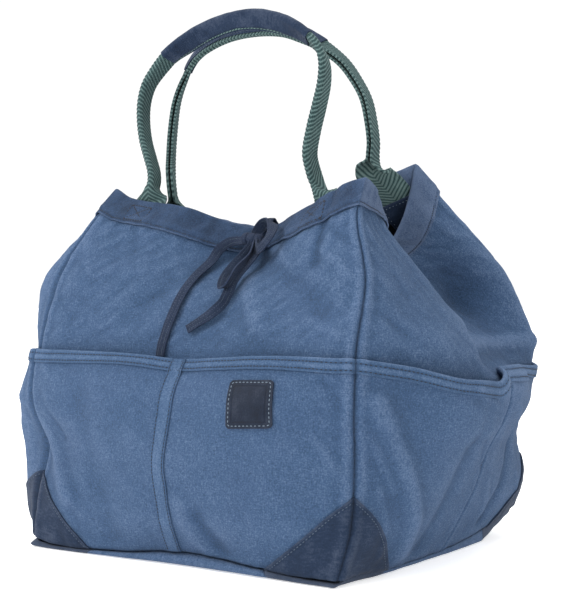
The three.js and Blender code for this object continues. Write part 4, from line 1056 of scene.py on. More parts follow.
def front_spot(x, z):
    """The flat place on the front's cloth that has the given x and z"""
    front = SURFACES["front"]
    x = np.asarray(x, float)
    z = np.asarray(z, float)
    flat = np.stack([x + PANEL_WIDTH / 2, z * 1.02])
    for _ in range(40):
        here = front.at(flat[0], flat[1])
        right = front.at(flat[0] + 1, flat[1]) - here
        up = front.at(flat[0], flat[1] + 1) - here
        miss_x = x - here[..., 0]
        miss_z = z - here[..., 2]
        det = right[..., 0] * up[..., 2] - right[..., 2] * up[..., 0]
        flat[0] += 0.8 * (miss_x * up[..., 2] - miss_z * up[..., 0]) / det
        flat[1] += 0.8 * (right[..., 0] * miss_z - right[..., 2] * miss_x) / det
    return flat


def label_place(x, y, off=0.0):
    """A place on the label, which leans a little on the front pocket"""
    spot = front_spot(LABEL["x"], LABEL["z"])
    lean = math.radians(LABEL["lean"])
    across = spot[0] + x * math.cos(lean) - y * math.sin(lean)
    up = spot[1] + x * math.sin(lean) + y * math.cos(lean)
    return SURFACES["front"].on_pocket(across, up, PATCH_GAP + off)


def make_label(size, finish):
    """Square leather label with rounded corners, bare but for a pressed line inside its stitches"""
    half_wide = size.label_width / MM / 2
    half_high = size.label_height / MM / 2
    radius = LABEL["corner"]
    line = 6.0
    cuts = []
    for sx in (-1, 1):
        for sy in (-1, 1):
            for angle in (22.5, 45, 67.5):
                turn = math.radians(angle)
                outward = (sx * math.cos(turn), sy * math.sin(turn))
                point = (sx * (half_wide - radius) + radius * outward[0],
                         sy * (half_high - radius) + radius * outward[1])
                cuts.append((point, outward))
    bm = flat_grid(np.linspace(-half_wide, half_wide, 60), np.linspace(-half_high, half_high, 58), cuts)

    def inset(x, y):
        return np.minimum(half_wide - np.abs(x), half_high - np.abs(y))

    def place(x, y):
        hem = inset(x, y)
        pressed = 0.4 * bump((hem - line) / 0.7) + 0.3 * bump((hem - LABEL_HEM) / 0.9)
        return label_place(x, y, LABEL["thickness"] / 2 - pressed)

    def wear_and_shade(x, y):
        hem = inset(x, y)
        return 0.6 * bump(hem / 1.2) - 0.7 * bump((hem - line) / 0.9) + 0.25 * ripple(61, x, y, 7)

    return sew(
        "front_label", bm, place, LABEL["thickness"], finish, nodes=["label"],
        wear_and_shade=wear_and_shade, edge=0.4,
    )


class Handle:
    """The middle line of one strap's free part, and how its webbing is turned and folded there"""

    def __init__(self, name):
        self.name = name
        self.row = HANDLES[name]
        side = SURFACES[name]
        ends = [
            side.at(foot * PANEL_WIDTH, 0.995 * RIM, -STRAP_DEPTH - RIM_ROOM)
            for foot in self.row["feet"]
        ]
        self.fine = spline([ends[0], *self.row["arch"], ends[1]], 3000)
        self.along = distances(self.fine)
        self.length = float(self.along[-1])
        self.grip = [share * self.length for share in self.row["grip"]]
        self.inward = -np.array(SIDES[name]["outward"], float)

    def line(self, distance):
        """Places at distances along the line"""
        return read_along(distance, self.along, self.fine)

    def frame(self, distance):
        """Place, width direction, fold direction and fold angle at distances along the line"""
        distance = np.asarray(distance, float)
        place = self.line(distance)
        tangent = unit(self.line(distance + 1.5) - self.line(distance - 1.5))
        late = distance > self.length / 2
        rise = np.minimum(distance, self.length - distance)
        centre = np.array([ARCH_CENTRE[0], 0, ARCH_CENTRE[1]]) - place * (1, 0, 1)
        share = smooth((rise - TURN_RISE[0]) / (TURN_RISE[1] - TURN_RISE[0]))[:, None]
        leaning = np.tile(self.inward, (len(rise), 1))
        leaning[:, 0] += np.where(late, self.row["lean"][1], self.row["lean"][0])
        d = square_to(tangent, unit(leaning) * (1 - share) + unit(centre) * share)
        w = unit(np.cross(tangent, d))
        start = np.where(late, self.row["fold_from"][1], self.row["fold_from"][0])
        fold = math.pi / 2 * smooth((rise - start) / FOLD_LENGTH)
        return place, w, d, fold


def folded_width(across, fold, pinch):
    """The webbing's cross-section: places (x, y) of points across it, folded by an angle"""
    half = WEBBING_WIDTH / 2
    share = fold / (math.pi / 2)
    bight = half / 2 + (FOLD_BIGHT - half / 2) * share
    arm = half - bight
    fine = np.linspace(0, half, 77)
    turn = np.minimum(bight, 1.7 + 3 * (1 - share))
    turned = smooth((fine[None] - (bight - turn)[:, None]) / (2 * turn)[:, None])
    angle = (fold * (1 + pinch))[:, None] * turned
    step = fine[1]
    start = np.zeros((len(fold), 1))
    x = np.concatenate([start, np.cumsum(np.cos(angle[:, 1:]) * step, axis=1)], axis=1)
    y = np.concatenate([start, np.cumsum(np.sin(angle[:, 1:]) * step, axis=1)], axis=1)
    y = y - (arm / 2 * np.sin(fold))[:, None]
    k = np.abs(across) / half * (len(fine) - 1)
    i = np.minimum(k.astype(int), len(fine) - 2)
    t = k - i
    x = (x[:, i] * (1 - t) + x[:, i + 1] * t) * np.sign(across)
    y = y[:, i] * (1 - t) + y[:, i + 1] * t
    return x, y


def make_webbing_surface(handle):
    """The whole strap's middle surface: sewn inside the panel, up, round and down again"""
    across = np.linspace(-WEBBING_WIDTH / 2, WEBBING_WIDTH / 2, 45)
    side = SURFACES[handle.name]

    def sewn(foot, level, sense):
        x = foot * PANEL_WIDTH + sense * across * PANEL_WIDTH / RIM_WIDTH
        return side.at(x, level * PANEL_HEIGHT, -STRAP_DEPTH + 0 * x)

    free = lines((7, 3), (handle.length - 7, 1))
    place, w, d, fold = handle.frame(free)
    start, end = handle.grip
    in_grip = smooth((free - start + 12) / 14) * smooth((end + 12 - free) / 14)
    x, y = folded_width(across, fold, 0.04 * in_grip)
    rings = place[:, None] + w[:, None] * x[..., None] + d[:, None] * y[..., None]
    first, last = handle.row["feet"]
    up = np.array([sewn(first, level, -1) for level in SEWN_LEVELS])
    down = np.array([sewn(last, level, 1) for level in reversed(SEWN_LEVELS)])
    rings = np.concatenate([up, rings, down])
    along = distances(rings[:, len(across) // 2])
    even = np.linspace(0, along[-1], int(along[-1]))
    smoothed = np.stack([spline_at(line, along, even) for line in rings.swapaxes(0, 1)], axis=1)
    return Surface(WEBBING_WIDTH, float(along[-1]), smoothed), float(along[len(up)] - free[0])


def spline_at(points, along, stops):
    """Places at distances on a rounded line through points that lie at given distances"""
    fine = 6
    dense = spline(points, (len(points) - 1) * fine + 1)
    index = np.linspace(0, len(points) - 1, len(dense))
    where = np.interp(index, np.arange(len(points)), along)
    return read_along(stops, where, dense)


def rib(x, y):
    """Relief of the herringbone, -1 to 1: ribs that slant down from the webbing's middle"""
    phase = (y + RIB_SLOPE * np.abs(x)) / RIB_PITCH
    return np.cos(2 * math.pi * phase)


def make_strap(handle, thickness, finish):
    """The webbing of one handle, its ribs plain where the grip covers them"""
    surface, start = make_webbing_surface(handle)
    half = WEBBING_WIDTH / 2
    xs = np.linspace(0, WEBBING_WIDTH, 45)
    ys = lines((0, 0.95), (surface.height, 1))
    grip_from, grip_to = (start + stop for stop in handle.grip)

    def place(x, y):
        edge = smooth((half - np.abs(x - half)) / 1.6)
        seam = bump((x - half) / 0.6)
        bare = 1 - smooth((y - grip_from - 8) / 4) * smooth((grip_to - 8 - y) / 4)
        return surface.at(x, y, (0.30 * rib(x - half, y) * edge - 0.25 * seam) * bare)

    def wear_and_shade(x, y):
        return 0.4 * bump((half - np.abs(x - half)) / 1.2) + 0.3 * ripple(71, x, y, 14)

    return sew(
        f"{handle.name}_webbing", flat_grid(xs, ys), place, thickness, finish,
        nodes=[f"{handle.name}_strap"],
        wear_and_shade=wear_and_shade, edge=0,
    )


def grip_section(across, closed):
    """Section of the suede round the folded webbing: out over the fold, then along both arms"""
    clear = WEBBING / 2 + GRIP_ROOM + GRIP_SUEDE / 2
    half_thick = FOLD_BIGHT + clear
    back = -(WEBBING_WIDTH / 2 - FOLD_BIGHT) / 2 - clear
    s = np.abs(across)
    quarter = half_thick * math.pi / 2
    angle = np.minimum(s / quarter, 1) * math.pi / 2
    x = half_thick * np.sin(angle)
    y = back + half_thick * (1 - np.cos(angle))
    run = np.maximum(s - quarter, 0)
    x = x - 0.06 * run
    if closed:
        x = x - (x - GRIP_SUEDE / 2 - 0.06) * smooth((run - GRIP_ARM + 1.2) / 2.6)
    return x * np.sign(across), y + run


def grip_face(handle):
    """The grip's middle surface: x round its girth from the fold's back, y along the handle"""
    closed = handle.name == "front"
    girth = GRIP_GIRTH[handle.name]

    def place(x, y, off=0.0):
        centre, w, d, _ = handle.frame(y)
        ahead = grip_section(x + 0.3, closed)
        behind = grip_section(x - 0.3, closed)
        nx = ahead[1] - behind[1]
        ny = behind[0] - ahead[0]
        size = np.maximum(np.hypot(nx, ny), 1e-6)
        row = bump((girth - np.abs(x) - GRIP_HEM) / 0.9)
        soft = 0.22 * ripple(81, x, y, 6) + 0.3 * ripple(82, x * 0, y, 13) - 0.4 * row + off
        sx, sy = grip_section(x, closed)
        return (
            centre + w * (sx + nx / size * soft)[..., None]
            + d * (sy + ny / size * soft)[..., None]
        )

    return place


def make_grip(handle, finish):
    """Suede wrapped round the folded webbing at the handle's top"""
    name = handle.name
    girth = GRIP_GIRTH[name]
    start, end = handle.grip
    half = lines((0, 0.6), (8, 0.8), (girth, 1))
    xs = np.concatenate([-half[:0:-1], half])

    def wear_and_shade(x, y):
        hem = girth - np.abs(x)
        row = bump((hem - GRIP_HEM) / 0.8)
        # Paler along its edges and over the fold's back; darker along the stitched rows: painted shade in
        # their creases
        return 0.5 * bump(hem / 0.9) + 0.25 * bump(x / 5) - 0.5 * row + 0.3 * ripple(83, x, y, 8)

    return sew(
        f"{name}_grip_suede", flat_grid(xs, lines((start, 1.8), (end, 1))), grip_face(handle),
        GRIP_SUEDE, finish,
        nodes=[f"{name}_grip"], wear_and_shade=wear_and_shade, edge=0.3,
    )


def make_tab(name, end, thickness, finish):
    """Suede over a strap's sewn end, inside the bag"""
    side = SURFACES[name]
    foot = HANDLES[name]["feet"][end] * PANEL_WIDTH
    depth = TAB_DEPTH - thickness / 2
    low = TAB["bottom"] * PANEL_HEIGHT
    high = TAB["top"] * PANEL_HEIGHT
    half = TAB["width"] / 2

    def place(x, y):
        return side.at(foot + x * PANEL_WIDTH / RIM_WIDTH, low + y, depth + 0.2 * ripple(91, x, y, 9))

    def wear_and_shade(x, y):
        hem = np.minimum(half - np.abs(x), np.minimum(y, high - low - y))
        # Paler along its edges; darker along the stitched row: painted shade in its crease
        return 0.5 * bump(hem / 1.2) - 0.4 * bump((hem - TAB_HEM) / 0.9)

    word = ("left", "right")[end]
    bm = flat_grid(np.linspace(-half, half, 22), lines((0, 2), (high - low, 1)))
    return sew(
        f"{name}_{word}_strap_tab", bm, place, thickness, finish,
        nodes=[f"{name}_{word}_tab"],
        wear_and_shade=wear_and_shade, edge=0.3,
    )


class Ribbon(Surface):
    """A run of the tie: its middle surface from a line of places with a width direction"""

    def __init__(self, places, widths, half_width, cup=0.0):
        length = float(np.sum(np.linalg.norm(np.diff(places, axis=0), axis=1)))
        tangent = unit(np.gradient(places, axis=0))
        widths = square_to(tangent, widths)
        out = np.cross(widths, tangent)
        x = np.linspace(-1, 1, 13)
        rings = (
            places[:, None] + widths[:, None] * (x * half_width)[None, :, None]
            + out[:, None] * (cup * (1 - x**2))[None, :, None]
        )
        super().__init__(2 * half_width, length, rings)


def tie_run(name):
    """One run of the tie, along its places over the front's cloth"""
    rows = TIE_RUNS[name]
    front = SURFACES["front"]
    base = []
    normals = []
    for x, z, lift, _ in rows:
        spot = front_spot(x, z)
        level = min(float(spot[1]), 0.98 * RIM)
        normal = unit(front.at(spot[0], level, 1.0) - front.at(spot[0], level))
        base.append(front.at(spot[0], spot[1]) + normal * (lift + CANVAS / 2))
        normals.append(normal)
    count = 160
    places = spline(base, count)
    stops = np.arange(len(rows))
    k = np.linspace(0, len(rows) - 1, count)
    roll = np.radians(np.interp(k, stops, [row[3] for row in rows]))[:, None]
    tangent = unit(np.gradient(places, axis=0))
    normal = square_to(tangent, unit(read_along(k, stops, normals)))
    widths = np.cross(tangent, normal) * np.cos(roll) + normal * np.sin(roll)
    return Ribbon(places, widths, TIE_WIDTH / 2, 0.5)


def mouth_strip():
    """The strip that comes out of the mouth to the knot, from the back's band"""
    front = SURFACES["front"]
    spot = front_spot(26, 315)
    rim = front.at(spot[0], RIM, BAND_FACE + 3)
    anchor = SURFACES["back"].at(0.41 * PANEL_WIDTH, 0.95 * RIM, -CANVAS / 2 - 5)
    knot_spot = front_spot(KNOT["x"] + 2, KNOT["z"] + 1)
    places = [
        front.at(knot_spot[0], knot_spot[1], KNOT["lift"]), rim, rim + (0, 6, 6), rim + (0, 15, 0),
        rim * 0.45 + anchor * 0.55 + (0, 0, -12), anchor + (0, -7, -4), anchor + (0, 0, 4),
    ]
    line = spline(places, 120)
    return Ribbon(line, np.tile([1.0, 0, 0], (len(line), 1)), TIE_WIDTH / 2, 0.3)


def knot_surface():
    """The knot: cloth wrapped round in three turns, held as a closed roll"""
    front = SURFACES["front"]
    spot = front_spot(KNOT["x"], KNOT["z"])
    normal = unit(front.at(spot[0], spot[1], 1.0) - front.at(spot[0], spot[1]))
    centre = front.at(spot[0], spot[1]) + normal * (KNOT["lift"] + CANVAS / 2)
    lean = math.radians(KNOT["lean"])
    along = np.array([math.cos(lean), 0, math.sin(lean)])
    across = unit(np.cross(normal, along))
    t = np.linspace(-1, 1, 61)[:, None]
    angle = np.linspace(0, 2 * math.pi, 49)[None, :]
    skewed = t + 0.10 * np.cos(angle)
    wraps = np.abs(np.cos(1.5 * math.pi * np.clip(skewed, -1, 1)))
    size = np.sqrt(np.maximum(0.0, 1 - np.abs(t) ** 5)) * (0.86 + 0.2 * np.minimum(wraps * 2.2, 1) ** 0.7)
    rows = (
        centre + along * (t * KNOT["half_long"])[..., None]
        + across * (np.cos(angle) * KNOT["half_high"] * size)[..., None]
        + normal * (np.sin(angle) * KNOT["half_deep"] * size)[..., None]
    )
    return Surface(38.0, 2 * KNOT["half_long"], rows)


def tie_runs():
    """All runs of the tie but its knot, by name"""
    runs = {name: tie_run(name) for name in TIE_RUNS}
    runs["mouth_strip"] = mouth_strip()
    return runs


def make_tie(runs, thickness, finish):
    """The bow: two tails, two loops, the strip over the rim and the knot"""
    half = TIE_WIDTH / 2
    for name, run in runs.items():
        def place(x, y, run=run):
            row = bump((np.abs(x - half) - TIE_ROW) / 0.7)
            return run.at(x, y, -0.15 * row + 0.3 * ripple(101, x, y, 8))

        def wear_and_shade(x, y):
            return 0.5 * bump((half - np.abs(x - half)) / 0.8) + 0.3 * ripple(102, x, y, 6)

        nodes = ["tie"] if name == "left_tail" else []
        cut = flat_grid(np.linspace(0, TIE_WIDTH, 13), lines((0, 1.2), (run.height, 1)))
        sew(
            f"tie_{name}", cut, place, thickness, finish, nodes=nodes,
            wear_and_shade=wear_and_shade, edge=0.35,
        )
    make_knot(finish)


def make_knot(finish):
    """The knot, a closed roll: its cut's left and right edges meet"""
    knot = knot_surface()

    def wear_and_shade(x, y):
        wraps = np.abs(np.cos(1.5 * math.pi * (y / KNOT["half_long"] - 1)))
        # Paler on the crests of the turns; darker between them: painted shade in the creases between the
        # turns
        return 0.5 * wraps - 0.6 * bump(wraps / 0.3)

    cut = flat_grid(np.linspace(0, knot.width, 49), np.linspace(0, knot.height, 61))
    mesh = shaped("tie_knot", cut, knot.at, wear_and_shade)[0]
    weld(mesh, 0.0002, outward=True)
    obj = piece("tie_knot", mesh, finish)


# Stitches

def stitch_line(face, path, pitch=STITCH_PITCH, closed=False):
    """Centres, directions and outward directions of stitches along a flat path on a face"""
    path = np.asarray(path, float)
    if closed:
        path = np.concatenate([path, path[:1]])
    along = distances(path)
    count = max(1, int(along[-1] / pitch))
    stops = (np.arange(count) + 0.5) * along[-1] / count
    none = 0 * stops
    behind, here, ahead = (read_along(stops + step, along, path).T for step in (-0.6, 0, 0.6))
    centre = face(*here, none)
    direction = unit(face(*ahead, none) - face(*behind, none))
    return centre, direction, unit(face(*here, none + 1) - centre)


def make_stitches(name, rows, finish, size=STITCH):
    """One object of many stitches: each a small rounded seed that lies along its row"""
    seed = bmesh.new()
    bmesh.ops.create_uvsphere(seed, u_segments=6, v_segments=4, radius=1.0)
    template = bpy.data.meshes.new(f"{name}_seed")
    seed.to_mesh(template)
    seed.free()
    shape = coordinates(template)
    centres, directions, outs = (np.concatenate([row[k] for row in rows]) for k in range(3))
    sideways = np.cross(directions, outs)
    bm = bmesh.new()
    for _ in range(len(centres)):
        bm.from_mesh(template)
    mesh = bpy.data.meshes.new(name)
    bm.to_mesh(mesh)
    bm.free()
    bpy.data.meshes.remove(template)
    length, width, height = (s / 2 for s in size)
    bow = 1 - shape[:, 2] ** 2
    places = (
        centres[:, None]
        + directions[:, None] * (shape[:, 2] * length)[None, :, None]
        + sideways[:, None] * (shape[:, 0] * width)[None, :, None]
        + outs[:, None] * (shape[:, 1] * height * (0.4 + 0.6 * bow) + 0.12 * bow)[None, :, None]
    )
    set_coordinates(mesh, places.reshape(-1, 3))
    piece(name, mesh, finish)


def stitch_straight(face, *ends, pitch=STITCH_PITCH):
    """Stitches along straight flat lines, each given as (x0, y0, x1, y1)"""
    rows = []
    for x0, y0, x1, y1 in ends:
        count = max(2, int(math.hypot(x1 - x0, y1 - y0) / 2))
        path = np.stack([np.linspace(x0, x1, count), np.linspace(y0, y1, count)], axis=-1)
        rows.append(stitch_line(face, path, pitch))
    return rows


def binding_rows(name):
    """Two rows along the binding"""
    side = SURFACES[name]

    def face(x, y, off):
        return side.on_pocket(x, side.mouth(x) + y, GAP + BINDING_CLOTH - 0.05 + off)

    levels = (row - BINDING_WIDTH for row in BINDING_ROWS)
    return stitch_straight(face, *((2, y, PANEL_WIDTH - 2, y) for y in levels))


def divider_rows(name):
    """Both edges of the divider, and across it at the binding's top and foot"""
    mouth = float(SURFACES[name].mouth(DIVIDER_X))

    def face(x, y, off):
        return divider_place(name, x, y, BINDING_CLOTH - 0.1 + off)

    edge = DIVIDER_WIDTH / 2 - DIVIDER_HEM
    top = mouth - 2.4
    square = mouth - BINDING_WIDTH
    return stitch_straight(
        face, (-edge, 4, -edge, top), (edge, 4, edge, top),
        (-edge, top, edge, top), (-edge, square, edge, square),
    )


def side_seam_rows(name):
    """The row that sews a side pocket to its panel at the middle"""
    side = SURFACES[name]
    mouth = float(side.mouth(DIVIDER_X))

    def face(x, y, off):
        return side.on_pocket(x, y, off - 0.6)

    return stitch_straight(face, (DIVIDER_X, 4, DIVIDER_X, mouth - BINDING_WIDTH))


def patch_rows(name, at_start):
    """A row inside the patch's slanted edge"""
    sign, _ = seam_end(at_start)
    slant = math.hypot(PATCH_FOOT, PATCH_HEIGHT)

    def face(x, y, off):
        return patch_place(name, at_start, sign * x, y, SUEDE - 0.3 + off)

    shift = PATCH_HEM * slant / PATCH_HEIGHT
    rise = PATCH_HEM * slant / PATCH_FOOT
    return stitch_straight(face, (PATCH_FOOT - shift - 2, 2, 2, PATCH_HEIGHT - rise - 2))


def band_rows():
    """A row along the band's foot, one side after the other"""
    rows = []
    for name in SIDE_ORDER:
        side = SURFACES[name]

        def face(x, y, off, side=side):
            return side.at(x, BAND_FOOT + y, BAND_FACE - 0.35 + off)

        rows += stitch_straight(face, (1, BAND_HEM, PANEL_WIDTH - 1, BAND_HEM))
    return rows


def cross_boxes():
    """A stitched box with a cross in it over each strap's foot, on the band"""
    rows = []
    for name, handle in HANDLES.items():
        side = SURFACES[name]

        def face(x, y, off, side=side):
            return side.at(x, y, BAND_FACE - 0.05 + off)

        low = BAND_FOOT + CROSS["bottom"]
        high = RIM - CROSS["top"]
        for foot in handle["feet"]:
            left = foot * PANEL_WIDTH - CROSS["half_width"]
            right = foot * PANEL_WIDTH + CROSS["half_width"]
            rows += stitch_straight(
                face, (left, high, right, high), (left, low, right, low),
                (left, low, left, high), (right, low, right, high),
                (left, low, right, high), (left, high, right, low),
            )
    return rows


def label_rows(size):
    """A row all round the label, rounded at its corners"""
    radius = 2.5
    half_wide = size.label_width / MM / 2 - LABEL_HEM - radius
    half_high = size.label_height / MM / 2 - LABEL_HEM - radius
    path = [
        (sx * half_wide + radius * math.cos(angle), sy * half_high + radius * math.sin(angle))
        for k, (sx, sy) in enumerate([(1, 1), (-1, 1), (-1, -1), (1, -1)])
        for angle in np.linspace(0, math.pi / 2, 5) + k * math.pi / 2
    ]

    def face(x, y, off):
        return label_place(x, y, LABEL["thickness"] - 0.2 + off)

    return [stitch_line(face, path, LABEL_PITCH, closed=True)]


def grip_rows(handle):
    """A row along each edge of the grip's suede"""
    start, end = handle.grip
    hem = GRIP_GIRTH[handle.name] - GRIP_HEM
    place = grip_face(handle)

    def face(x, y, off):
        return place(x, y, GRIP_SUEDE / 2 - 0.2 + off)

    return stitch_straight(face, *((x, start + 2, x, end - 2) for x in (-hem, hem)))


def tab_rows(name, end):
    """A row all round a strap's tab"""
    side = SURFACES[name]
    foot = HANDLES[name]["feet"][end] * PANEL_WIDTH
    low = TAB["bottom"] * PANEL_HEIGHT + TAB_HEM
    high = TAB["top"] * PANEL_HEIGHT - TAB_HEM
    half = TAB["width"] / 2 - TAB_HEM

    def face(x, y, off):
        return side.at(foot + x * PANEL_WIDTH / RIM_WIDTH, y, TAB_DEPTH - SUEDE + 0.1 - off)

    return [stitch_line(face, [(-half, low), (half, low), (half, high), (-half, high)], closed=True)]


def tie_rows(runs):
    """Two fine rows along each run, on both faces where both show"""
    rows = []
    for name, run in runs.items():
        def face(x, y, off, run=run):
            return run.at(x, y, TIE_CLOTH / 2 - 0.1 + off)

        def back(x, y, off, run=run):
            return run.at(x, y, -TIE_CLOTH / 2 + 0.1 - off)

        sides = (face, back) if "loop" in name or name == "mouth_strip" else (face,)
        levels = (TIE_WIDTH / 2 - TIE_ROW, TIE_WIDTH / 2 + TIE_ROW)
        for reading in sides:
            ends = ((x, 2, x, run.height - 2) for x in levels)
            rows += stitch_straight(reading, *ends, pitch=FINE_PITCH)
    return rows


# Finishes

class Value:
    """A number that varies over a surface: arithmetic on it adds Math nodes"""

    def __init__(self, finish, socket):
        self.finish = finish
        self.socket = socket

    def math(self, operation, *others):
        """This value and others through one Math node"""
        return self.finish.math(operation, self, *others)

    def __add__(self, other):
        return self.math("ADD", other)

    __radd__ = __add__

    def __sub__(self, other):
        return self.math("SUBTRACT", other)

    def __mul__(self, other):
        return self.math("MULTIPLY", other)

    def sine(self):
        return self.math("SINE")

    def size(self):
        return self.math("ABSOLUTE")

    def within(self):
        """Held between 0 and 1"""
        held = self.math("ADD", 0)
        held.socket.node.use_clamp = True
        return held


class Finish:
    """A material under construction, with its shader and output in place"""

    def __init__(self, name, **constants):
        self.material = bpy.data.materials.new(name)
        self.material.use_nodes = True
        self.tree = self.material.node_tree
        self.tree.nodes.clear()
        self.shader = self.node("ShaderNodeBsdfPrincipled", {}, constants)
        self.node("ShaderNodeOutputMaterial", {}, {"Surface": self.shader.outputs[0]})
        self.position = self.node("ShaderNodeTexCoord", {}, {}).outputs["Object"]
        self.flat = self.node("ShaderNodeUVMap", {"uv_map": "cloth"}, {}).outputs[0]
        parts = self.node("ShaderNodeSeparateXYZ", {}, {0: self.flat})
        self.across = Value(self, parts.outputs[0])
        self.along = Value(self, parts.outputs[1])
        worn_and_shaded = self.node("ShaderNodeAttribute", {"attribute_name": "wear_and_shade"}, {})
        self.wear_and_shade = Value(self, worn_and_shaded.outputs["Fac"])

    def node(self, kind, settings, values):
        """A new node with its settings, fed with sockets or constants"""
        node = self.tree.nodes.new(kind)
        for key, setting in settings.items():
            setattr(node, key, setting)
        for key, value in values.items():
            self.feed(node.inputs[key], value)
        return node

    def feed(self, socket, value):
        if isinstance(value, Value):
            value = value.socket
        if isinstance(value, bpy.types.NodeSocket):
            self.tree.links.new(value, socket)
        else:
            socket.default_value = value

    def math(self, operation, *values):
        node = self.node("ShaderNodeMath", {"operation": operation}, dict(enumerate(values)))
        return Value(self, node.outputs[0])

    def stretched(self, vector, x, y, z=1.0):
        node = self.node("ShaderNodeVectorMath", {"operation": "MULTIPLY"}, {0: vector, 1: (x, y, z)})
        return node.outputs[0]

    def noise(self, vector, scale, detail=3.0, roughness=0.55):
        """Cloudy variation from about -1 to 1"""
        values = {"Vector": vector, "Scale": scale, "Detail": detail, "Roughness": roughness}
        node = self.node("ShaderNodeTexNoise", {}, values)
        return (Value(self, node.outputs[0]) - 0.5) * 3.0

    def grains(self, vector, scale):
        """Distance to the nearest grain's middle, 0 to about 1"""
        node = self.node("ShaderNodeTexVoronoi", {}, {"Vector": vector, "Scale": scale})
        return Value(self, node.outputs["Distance"])

    def mixed(self, amount, first, second):
        """The first colour turned into the second by an amount from 0 to 1"""
        colours = [(*c, 1.0) if isinstance(c, tuple) else c for c in (first, second)]
        values = {0: amount, 6: colours[0], 7: colours[1]}
        return self.node("ShaderNodeMix", {"data_type": "RGBA"}, values).outputs[2]

    def shades(self, tone, dark, middle, light):
        """Colour for a tone from 0, dark, over 0.5, middle, to 1, light"""
        low = self.mixed((tone * 2).within(), dark, middle)
        return self.mixed((tone * 2 - 1).within(), low, light)

    def colour(self, value):
        self.feed(self.shader.inputs["Base Color"], value)

    def relief(self, height, depth):
        """Bump of a height, in units of a depth in millimetres"""
        node = self.node("ShaderNodeBump", {}, {"Height": height, "Distance": depth * MM, "Strength": 1.0})
        self.feed(self.shader.inputs["Normal"], node.outputs[0])


def shade(colour, amount):
    """A colour made darker (below 1) or paler (above 1)"""
    if amount <= 1:
        return tuple(c * amount for c in colour)
    top = max(colour) * amount
    return tuple(c * amount + (top - c * amount) * (amount - 1) * 0.3 for c in colour)


def woven(name, colour, thread=0.95, contrast=1.0, slub=1.0, fade=0.2):
    """Washed cloth: a plain weave with uneven threads, paler where it fades on its ridges and darker where
    shade is painted in its hollows
    """
    f = Finish(name, Roughness=0.94, **{"Specular IOR Level": 0.2, "Sheen Weight": 0.03})
    pitch = 2 * math.pi / (thread * MM)
    weave = (f.across * pitch).sine() * (f.along * pitch).sine()
    cloudy = f.noise(f.position, 11, 2) * 0.04 + f.noise(f.position, 34, 3) * 0.03
    blotch = f.noise(f.position, 150, 3) * 0.04
    warp = f.noise(f.stretched(f.flat, 700, 160), 1.0, 2) * 0.16 * slub
    weft = f.noise(f.stretched(f.flat, 170, 760), 1.0, 2) * 0.13 * slub
    speck = f.noise(f.position, 720, 2) * 0.36
    # fade scales the paling on ridges and the painted shade in hollows alike
    tone = 0.5 + (cloudy + blotch + warp + weft + speck + weave * 0.03) * contrast + f.wear_and_shade * fade
    base = f.shades(tone, shade(colour, 0.5), colour, shade(colour, 1.7))
    violet = (colour[0] * 1.25, colour[1] * 0.95, colour[2])
    patches = (f.noise(f.position, 19, 2) * 0.5 + 0.1).within() * 0.2
    f.colour(f.mixed(patches, base, violet))
    f.relief(weave * 0.35 + warp * 2.2 + weft * 2.2 + speck * 2.0, 0.5)
    return f.material


def suede(name, colour):
    """Brushed leather: a soft nap with paler strokes"""
    f = Finish(name, Roughness=0.96, **{"Specular IOR Level": 0.2, "Sheen Weight": 0.05})
    nap = f.noise(f.position, 620, 3)
    strokes = f.noise(f.stretched(f.flat, 120, 420), 1.0, 3)
    cloudy = f.noise(f.position, 45, 3)
    tone = 0.5 + cloudy * 0.24 + strokes * 0.16 + nap * 0.20 + f.wear_and_shade * 0.35
    f.colour(f.shades(tone, shade(colour, 0.45), colour, shade(colour, 2.1)))
    f.relief(nap * 0.5 + strokes * 0.6, 0.22)
    return f.material


def label_leather(name, colour):
    """Smooth leather with a fine grain"""
    f = Finish(name, Roughness=0.6, **{"Specular IOR Level": 0.18})
    grain = f.grains(f.position, 900)
    cloudy = f.noise(f.position, 60, 3)
    fine = f.noise(f.position, 700, 2)
    tone = 0.5 + cloudy * 0.34 + fine * 0.2 + f.wear_and_shade * 0.35
    f.colour(f.shades(tone, shade(colour, 0.45), colour, shade(colour, 2.2)))
    f.relief(grain * -0.8 + fine * 0.4, 0.25)
    return f.material


def herringbone(name, colour, light, dark):
    """Cotton webbing: slanted ribs that meet along its middle"""
    f = Finish(name, Roughness=0.92, **{"Specular IOR Level": 0.2, "Sheen Weight": 0.03})
    middle = WEBBING_WIDTH / 2 * MM
    slant = (f.across - middle).size() * RIB_SLOPE
    phase = (f.along + slant) * (2 * math.pi / (RIB_PITCH * MM))
    ribs = (phase + 0.5 * math.pi).sine()
    yarn = (f.across * (2 * math.pi / (1.1 * MM))).sine()
    uneven = f.noise(f.stretched(f.flat, 800, 120), 1.0, 2)
    cloudy = f.noise(f.position, 30, 3)
    # The ribs' crests take the light colour and the gaps between them the dark one: painted light and
    # shade on the ribs
    tone = 0.42 + ribs * 0.38 + yarn * 0.07 + uneven * 0.13 + cloudy * 0.08 + f.wear_and_shade * 0.1
    f.colour(f.shades(tone, dark, colour, light))
    f.relief(ribs * 0.5 + yarn * 0.3 + uneven * 0.5, 0.3)
    return f.material


def thread(name, colour):
    """Twisted sewing thread"""
    f = Finish(name, Roughness=0.75)
    tone = 0.5 + f.noise(f.position, 700, 2) * 0.3
    f.colour(f.shades(tone, shade(colour, 0.6), colour, shade(colour, 1.3)))
    return f.material


